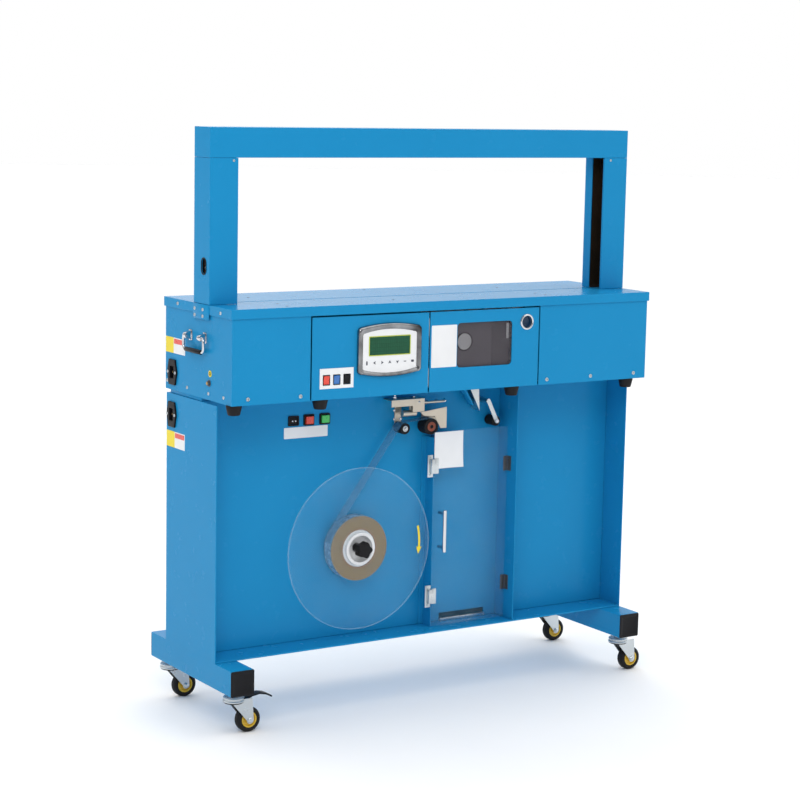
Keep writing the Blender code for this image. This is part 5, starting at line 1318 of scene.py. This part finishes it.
class STRAPPER_OT_pool(bpy.types.Operator):
    """Makes the pool door's hinges, catches and blank sheet, and the outlet's bar"""
    bl_idname = "strapper.pool"
    bl_label = "Tape pool"

    def execute(self, context):
        s = sizes()
        door_low, door_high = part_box("pool_door")
        axis = frame_joint("pool_door_hinge")
        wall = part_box("pool_right_wall")[0].x
        for name, start in (("upper", door_high.z - UPPER_DOWN), ("lower", door_low.z + 0.0592)):
            end = start + s.hinge_height
            shape = bmesh.new()
            leaf = door_high.x - 0.0004
            front = door_low.y - 0.0008
            add_box(shape, (leaf - s.hinge_width, front, start), (leaf, door_low.y - 0.00002, end), 0.0002)
            for z in (start + 0.007, end - 0.007):
                add_rod(shape, "Y", (leaf - s.hinge_width * 0.55, z), 0.0021, front - 0.0002,
                        front + 0.0002, 0.0001)
            add_piece(f"pool_hinge_leaf_{name}", shape, "casting", "pool_door")
            shape = bmesh.new()
            near = axis.y - 0.0014
            add_box(shape, (wall - 0.0005, near - s.hinge_width, start),
                    (wall - 0.00002, near, end), 0.0001)
            pitch = (end - start) / 5
            for number in range(5):
                add_rod(shape, "Z", (axis.x, axis.y), 0.0011, start + pitch * number + 0.0002,
                        start + pitch * (number + 1) - 0.0002, 0.0002)
            add_piece(f"pool_hinge_{name}", shape, "casting", "machine")
        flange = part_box("pool_left_wall")
        for name, start in (("upper", door_high.z - UPPER_DOWN), ("lower", door_low.z + 0.0400)):
            end = start + s.catch_height
            shape = bmesh.new()
            right = door_low.x - 0.0006
            add_box(shape, (flange[0].x - 0.0050, flange[0].y - 0.0016, start),
                    (right, flange[0].y - 0.0001, end), 0.0004)
            add_box(shape, (right - 0.0085, flange[0].y - 0.0080, start + 0.008),
                    (right - 0.0005, flange[0].y - 0.0012, end - 0.008), 0.0014)
            for z in (start + 0.006, end - 0.006):
                add_screw(shape, (flange[0].x + 0.0010, flange[0].y - 0.0016, z), (0, -1, 0), 0.0024)
            add_piece(f"pool_catch_{name}", shape, "zinc", "machine")
            shape = bmesh.new()
            add_box(shape, (door_low.x + 0.0004, door_low.y - 0.0014, start + 0.007),
                    (door_low.x + 0.0110, door_low.y - 0.00005, end - 0.007), 0.0004)
            add_piece(f"pool_keeper_{name}", shape, "zinc", "pool_door")
        add_sheet("pool_notice", (door_low.x + 0.0004, door_high.z - 0.0760),
                  (door_low.x + 0.0700, door_high.z - 0.0008), door_low.y)
        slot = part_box("stand_tray")[1].z + 0.003
        shape = bmesh.new()
        add_box(shape, (0.0660, WALL_Y - 0.0052, slot - 0.0030 + GAP),
                (0.1780, WALL_Y - 0.0002, slot + 0.0040), 0.0006)
        for x in (0.0700, 0.1740):
            add_screw(shape, (x, WALL_Y - 0.0052, slot + 0.0006), (0, -1, 0), 0.0016)
        add_piece("outlet_bar", shape, "brushed", "machine")
        return {"FINISHED"}


def add_sheet(name, low, high, face):
    """A blank paper sheet stuck flat on the door, its lower corner lifting a little."""
    shape = bmesh.new()
    made = bmesh.ops.create_grid(shape, x_segments=12, y_segments=14, size=0.5)["verts"]
    for vert in made:
        across, up = vert.co.x + 0.5, vert.co.y + 0.5
        lift = 0.0022 * max(0.0, across - 0.45) ** 2 * max(0.0, 0.75 - up) ** 2 * 9.0
        vert.co = (low[0] + (high[0] - low[0]) * across, face - 0.00035 - lift,
                   low[1] + (high[1] - low[1]) * up)
    bmesh.ops.recalc_face_normals(shape, faces=shape.faces)
    bmesh.ops.solidify(shape, geom=shape.faces[:], thickness=0.0002)
    add_piece(name, shape, "white", "pool_door")


class STRAPPER_OT_chute(bpy.types.Operator):
    """Makes the blue guide beside the tape chute and the feed pulley's trim"""
    bl_idname = "strapper.chute"
    bl_label = "Chute and feed"

    def execute(self, context):
        low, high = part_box("tape_chute")
        shape = bmesh.new()
        outline = [(low.x - 0.0105, HOUSING_Z - GAP), (low.x - 0.0030, HOUSING_Z - GAP),
                   (high.x - 0.0120, low.z + 0.0120), (high.x - 0.0150, low.z + 0.0120)]
        add_prism(shape, "Y", outline, low.y + 0.004, high.y - 0.004, 0.0003)
        add_piece("chute_guide", shape, "paint", "machine")
        pulley = middle("feed_pulley")
        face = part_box("feed_pulley")[0].y
        shape = bmesh.new()
        ring = [(0.0172, face + 0.0004), (0.0172, face - 0.0008), (0.0180, face - 0.0014),
                (0.0194, face - 0.0014), (0.0200, face - 0.0008), (0.0200, face + 0.0004)]
        add_turned(shape, "Y", (pulley.x, pulley.z), ring, 48)
        hub = [(0.0, face + 0.0004), (0.0060, face + 0.0004), (0.0060, face - 0.0030),
               (0.0050, face - 0.0040), (0.0, face - 0.0040)]
        add_turned(shape, "Y", (pulley.x, pulley.z), hub, 32, False)
        for turn in range(4):
            angle = math.radians(45 + 90 * turn)
            add_screw(shape, (pulley.x + 0.0115 * math.cos(angle), face,
                              pulley.z + 0.0115 * math.sin(angle)), (0, -1, 0), 0.0020)
        add_piece("feed_pulley_trim", shape, "zinc", "feed_pulley")
        return {"FINISHED"}


# ---------------------------------------------------------------- stage
CAMERA_PLACE = (-2.2985, -3.5765, 1.220)
CAMERA_TURN = (-32.561, 8.308, 1.128)       # azimuth, elevation and roll, in degrees
CAMERA_LENS = 94.25


class STRAPPER_OT_stage(bpy.types.Operator):
    """Makes the floor, the soft lights and the camera"""
    bl_idname = "strapper.stage"
    bl_label = "Stage"

    def execute(self, context):
        scene = context.scene
        shape = bmesh.new()
        bmesh.ops.create_circle(shape, cap_ends=True, radius=30.0, segments=64)
        mesh = bpy.data.meshes.new("floor")
        shape.to_mesh(mesh)
        shape.free()
        tint = tuple(colours().floor)
        mesh.materials.append(surface("floor", tint, shade(tint, 0.99), 0.9, grain=60.0))
        floor = bpy.data.objects.new("floor", mesh)
        scene.collection.objects.link(floor)
        add_light("key", (-2.6, -3.4, 3.4), (0.0, 0.0, 0.6), 2.2, 60.0)
        add_light("left", (-4.4, 0.6, 2.4), (0.0, 0.0, 0.6), 2.4, 24.0)
        add_light("back", (1.2, 3.6, 3.0), (0.0, 0.0, 0.8), 2.6, 22.0)
        add_sun(1.00, 110.0)
        world = scene.world or bpy.data.worlds.new("studio")
        scene.world = world
        world.use_nodes = True
        shade_world(world.node_tree)
        scene.view_settings.view_transform = "Standard"
        add_camera()
        return {"FINISHED"}


def shade_world(tree):
    """White behind the machine and above it, and grey behind the camera."""
    direction = node(tree, "ShaderNodeTexCoord")
    facing = node(tree, "ShaderNodeVectorMath", operation="DOT_PRODUCT")
    facing.inputs[1].default_value = (0.85, 0.35, 0.38)
    tree.links.new(direction.outputs["Generated"], facing.inputs[0])
    share = remap(tree, facing.outputs["Value"], 0.0, 1.0, -0.10, 0.32)
    background = tree.nodes["Background"]
    tree.links.new(blend_colours(tree, share, (0.30, 0.31, 0.33), (1.0, 1.0, 1.0)),
                   background.inputs["Color"])
    background.inputs["Strength"].default_value = 1.0


def add_sun(strength, spread_angle):
    lamp = bpy.data.lights.new("overhead", "SUN")
    lamp.energy = strength
    lamp.angle = math.radians(spread_angle)
    bpy.context.scene.collection.objects.link(bpy.data.objects.new("overhead", lamp))


def add_light(name, place, target, width, power):
    lamp = bpy.data.lights.new(name, "AREA")
    lamp.shape = "DISK"
    lamp.size = width
    lamp.energy = power
    light = bpy.data.objects.new(name, lamp)
    light.location = place
    light.rotation_euler = (Vector(target) - Vector(place)).to_track_quat("-Z", "Y").to_euler()
    bpy.context.scene.collection.objects.link(light)


def add_camera():
    azimuth, elevation, roll = (math.radians(turn) for turn in CAMERA_TURN)
    back = Vector((math.sin(azimuth) * math.cos(elevation),
                   -math.cos(azimuth) * math.cos(elevation), math.sin(elevation)))
    right = (-back).cross(Vector((0.0, 0.0, 1.0))).normalized()
    up = right.cross(-back)
    across = math.cos(roll) * right + math.sin(roll) * up
    upward = math.cos(roll) * up - math.sin(roll) * right
    turned = Matrix((across, upward, back)).transposed().to_4x4()
    lens = bpy.data.cameras.new("camera")
    lens.lens = CAMERA_LENS
    lens.sensor_width = 36.0
    camera = bpy.data.objects.new("camera", lens)
    camera.matrix_world = Matrix.Translation(CAMERA_PLACE) @ turned
    bpy.context.scene.collection.objects.link(camera)
    bpy.context.scene.camera = camera


# ---------------------------------------------------------------- panel and registration
OPERATORS = (
    STRAPPER_OT_finishes, STRAPPER_OT_foot_tubes, STRAPPER_OT_casters, STRAPPER_OT_rail,
    STRAPPER_OT_rubber_feet,
    STRAPPER_OT_arch, STRAPPER_OT_screws, STRAPPER_OT_handles, STRAPPER_OT_inlets,
    STRAPPER_OT_side_labels, STRAPPER_OT_controller, STRAPPER_OT_switches, STRAPPER_OT_window,
    STRAPPER_OT_reel, STRAPPER_OT_tape, STRAPPER_OT_guides, STRAPPER_OT_pool, STRAPPER_OT_chute,
    STRAPPER_OT_stage,
)


class STRAPPER_PT_pieces(bpy.types.Panel):
    """Lists the machine's pieces, sizes and colours"""
    bl_idname = "STRAPPER_PT_pieces"
    bl_label = "Strapping machine"
    bl_space_type = "VIEW_3D"
    bl_region_type = "UI"
    bl_category = "Strapper"

    def draw(self, context):
        for operator in OPERATORS:
            self.layout.operator(operator.bl_idname)
        for settings in (context.scene.strapper_sizes, context.scene.strapper_colours):
            for name in settings.bl_rna.properties.keys():
                if name not in ("rna_type", "name"):
                    self.layout.prop(settings, name)


CLASSES = (StrapperSizes, StrapperColours, *OPERATORS, STRAPPER_PT_pieces)


def register():
    for made in CLASSES:
        bpy.utils.register_class(made)
    bpy.types.Scene.strapper_sizes = bpy.props.PointerProperty(type=StrapperSizes)
    bpy.types.Scene.strapper_colours = bpy.props.PointerProperty(type=StrapperColours)


def unregister():
    del bpy.types.Scene.strapper_colours
    del bpy.types.Scene.strapper_sizes
    for made in reversed(CLASSES):
        bpy.utils.unregister_class(made)


def main():
    register()
    for operator in OPERATORS:
        group, name = operator.bl_idname.split(".")
        getattr(getattr(bpy.ops, group), name)()


if __name__ == "__main__":
    main()
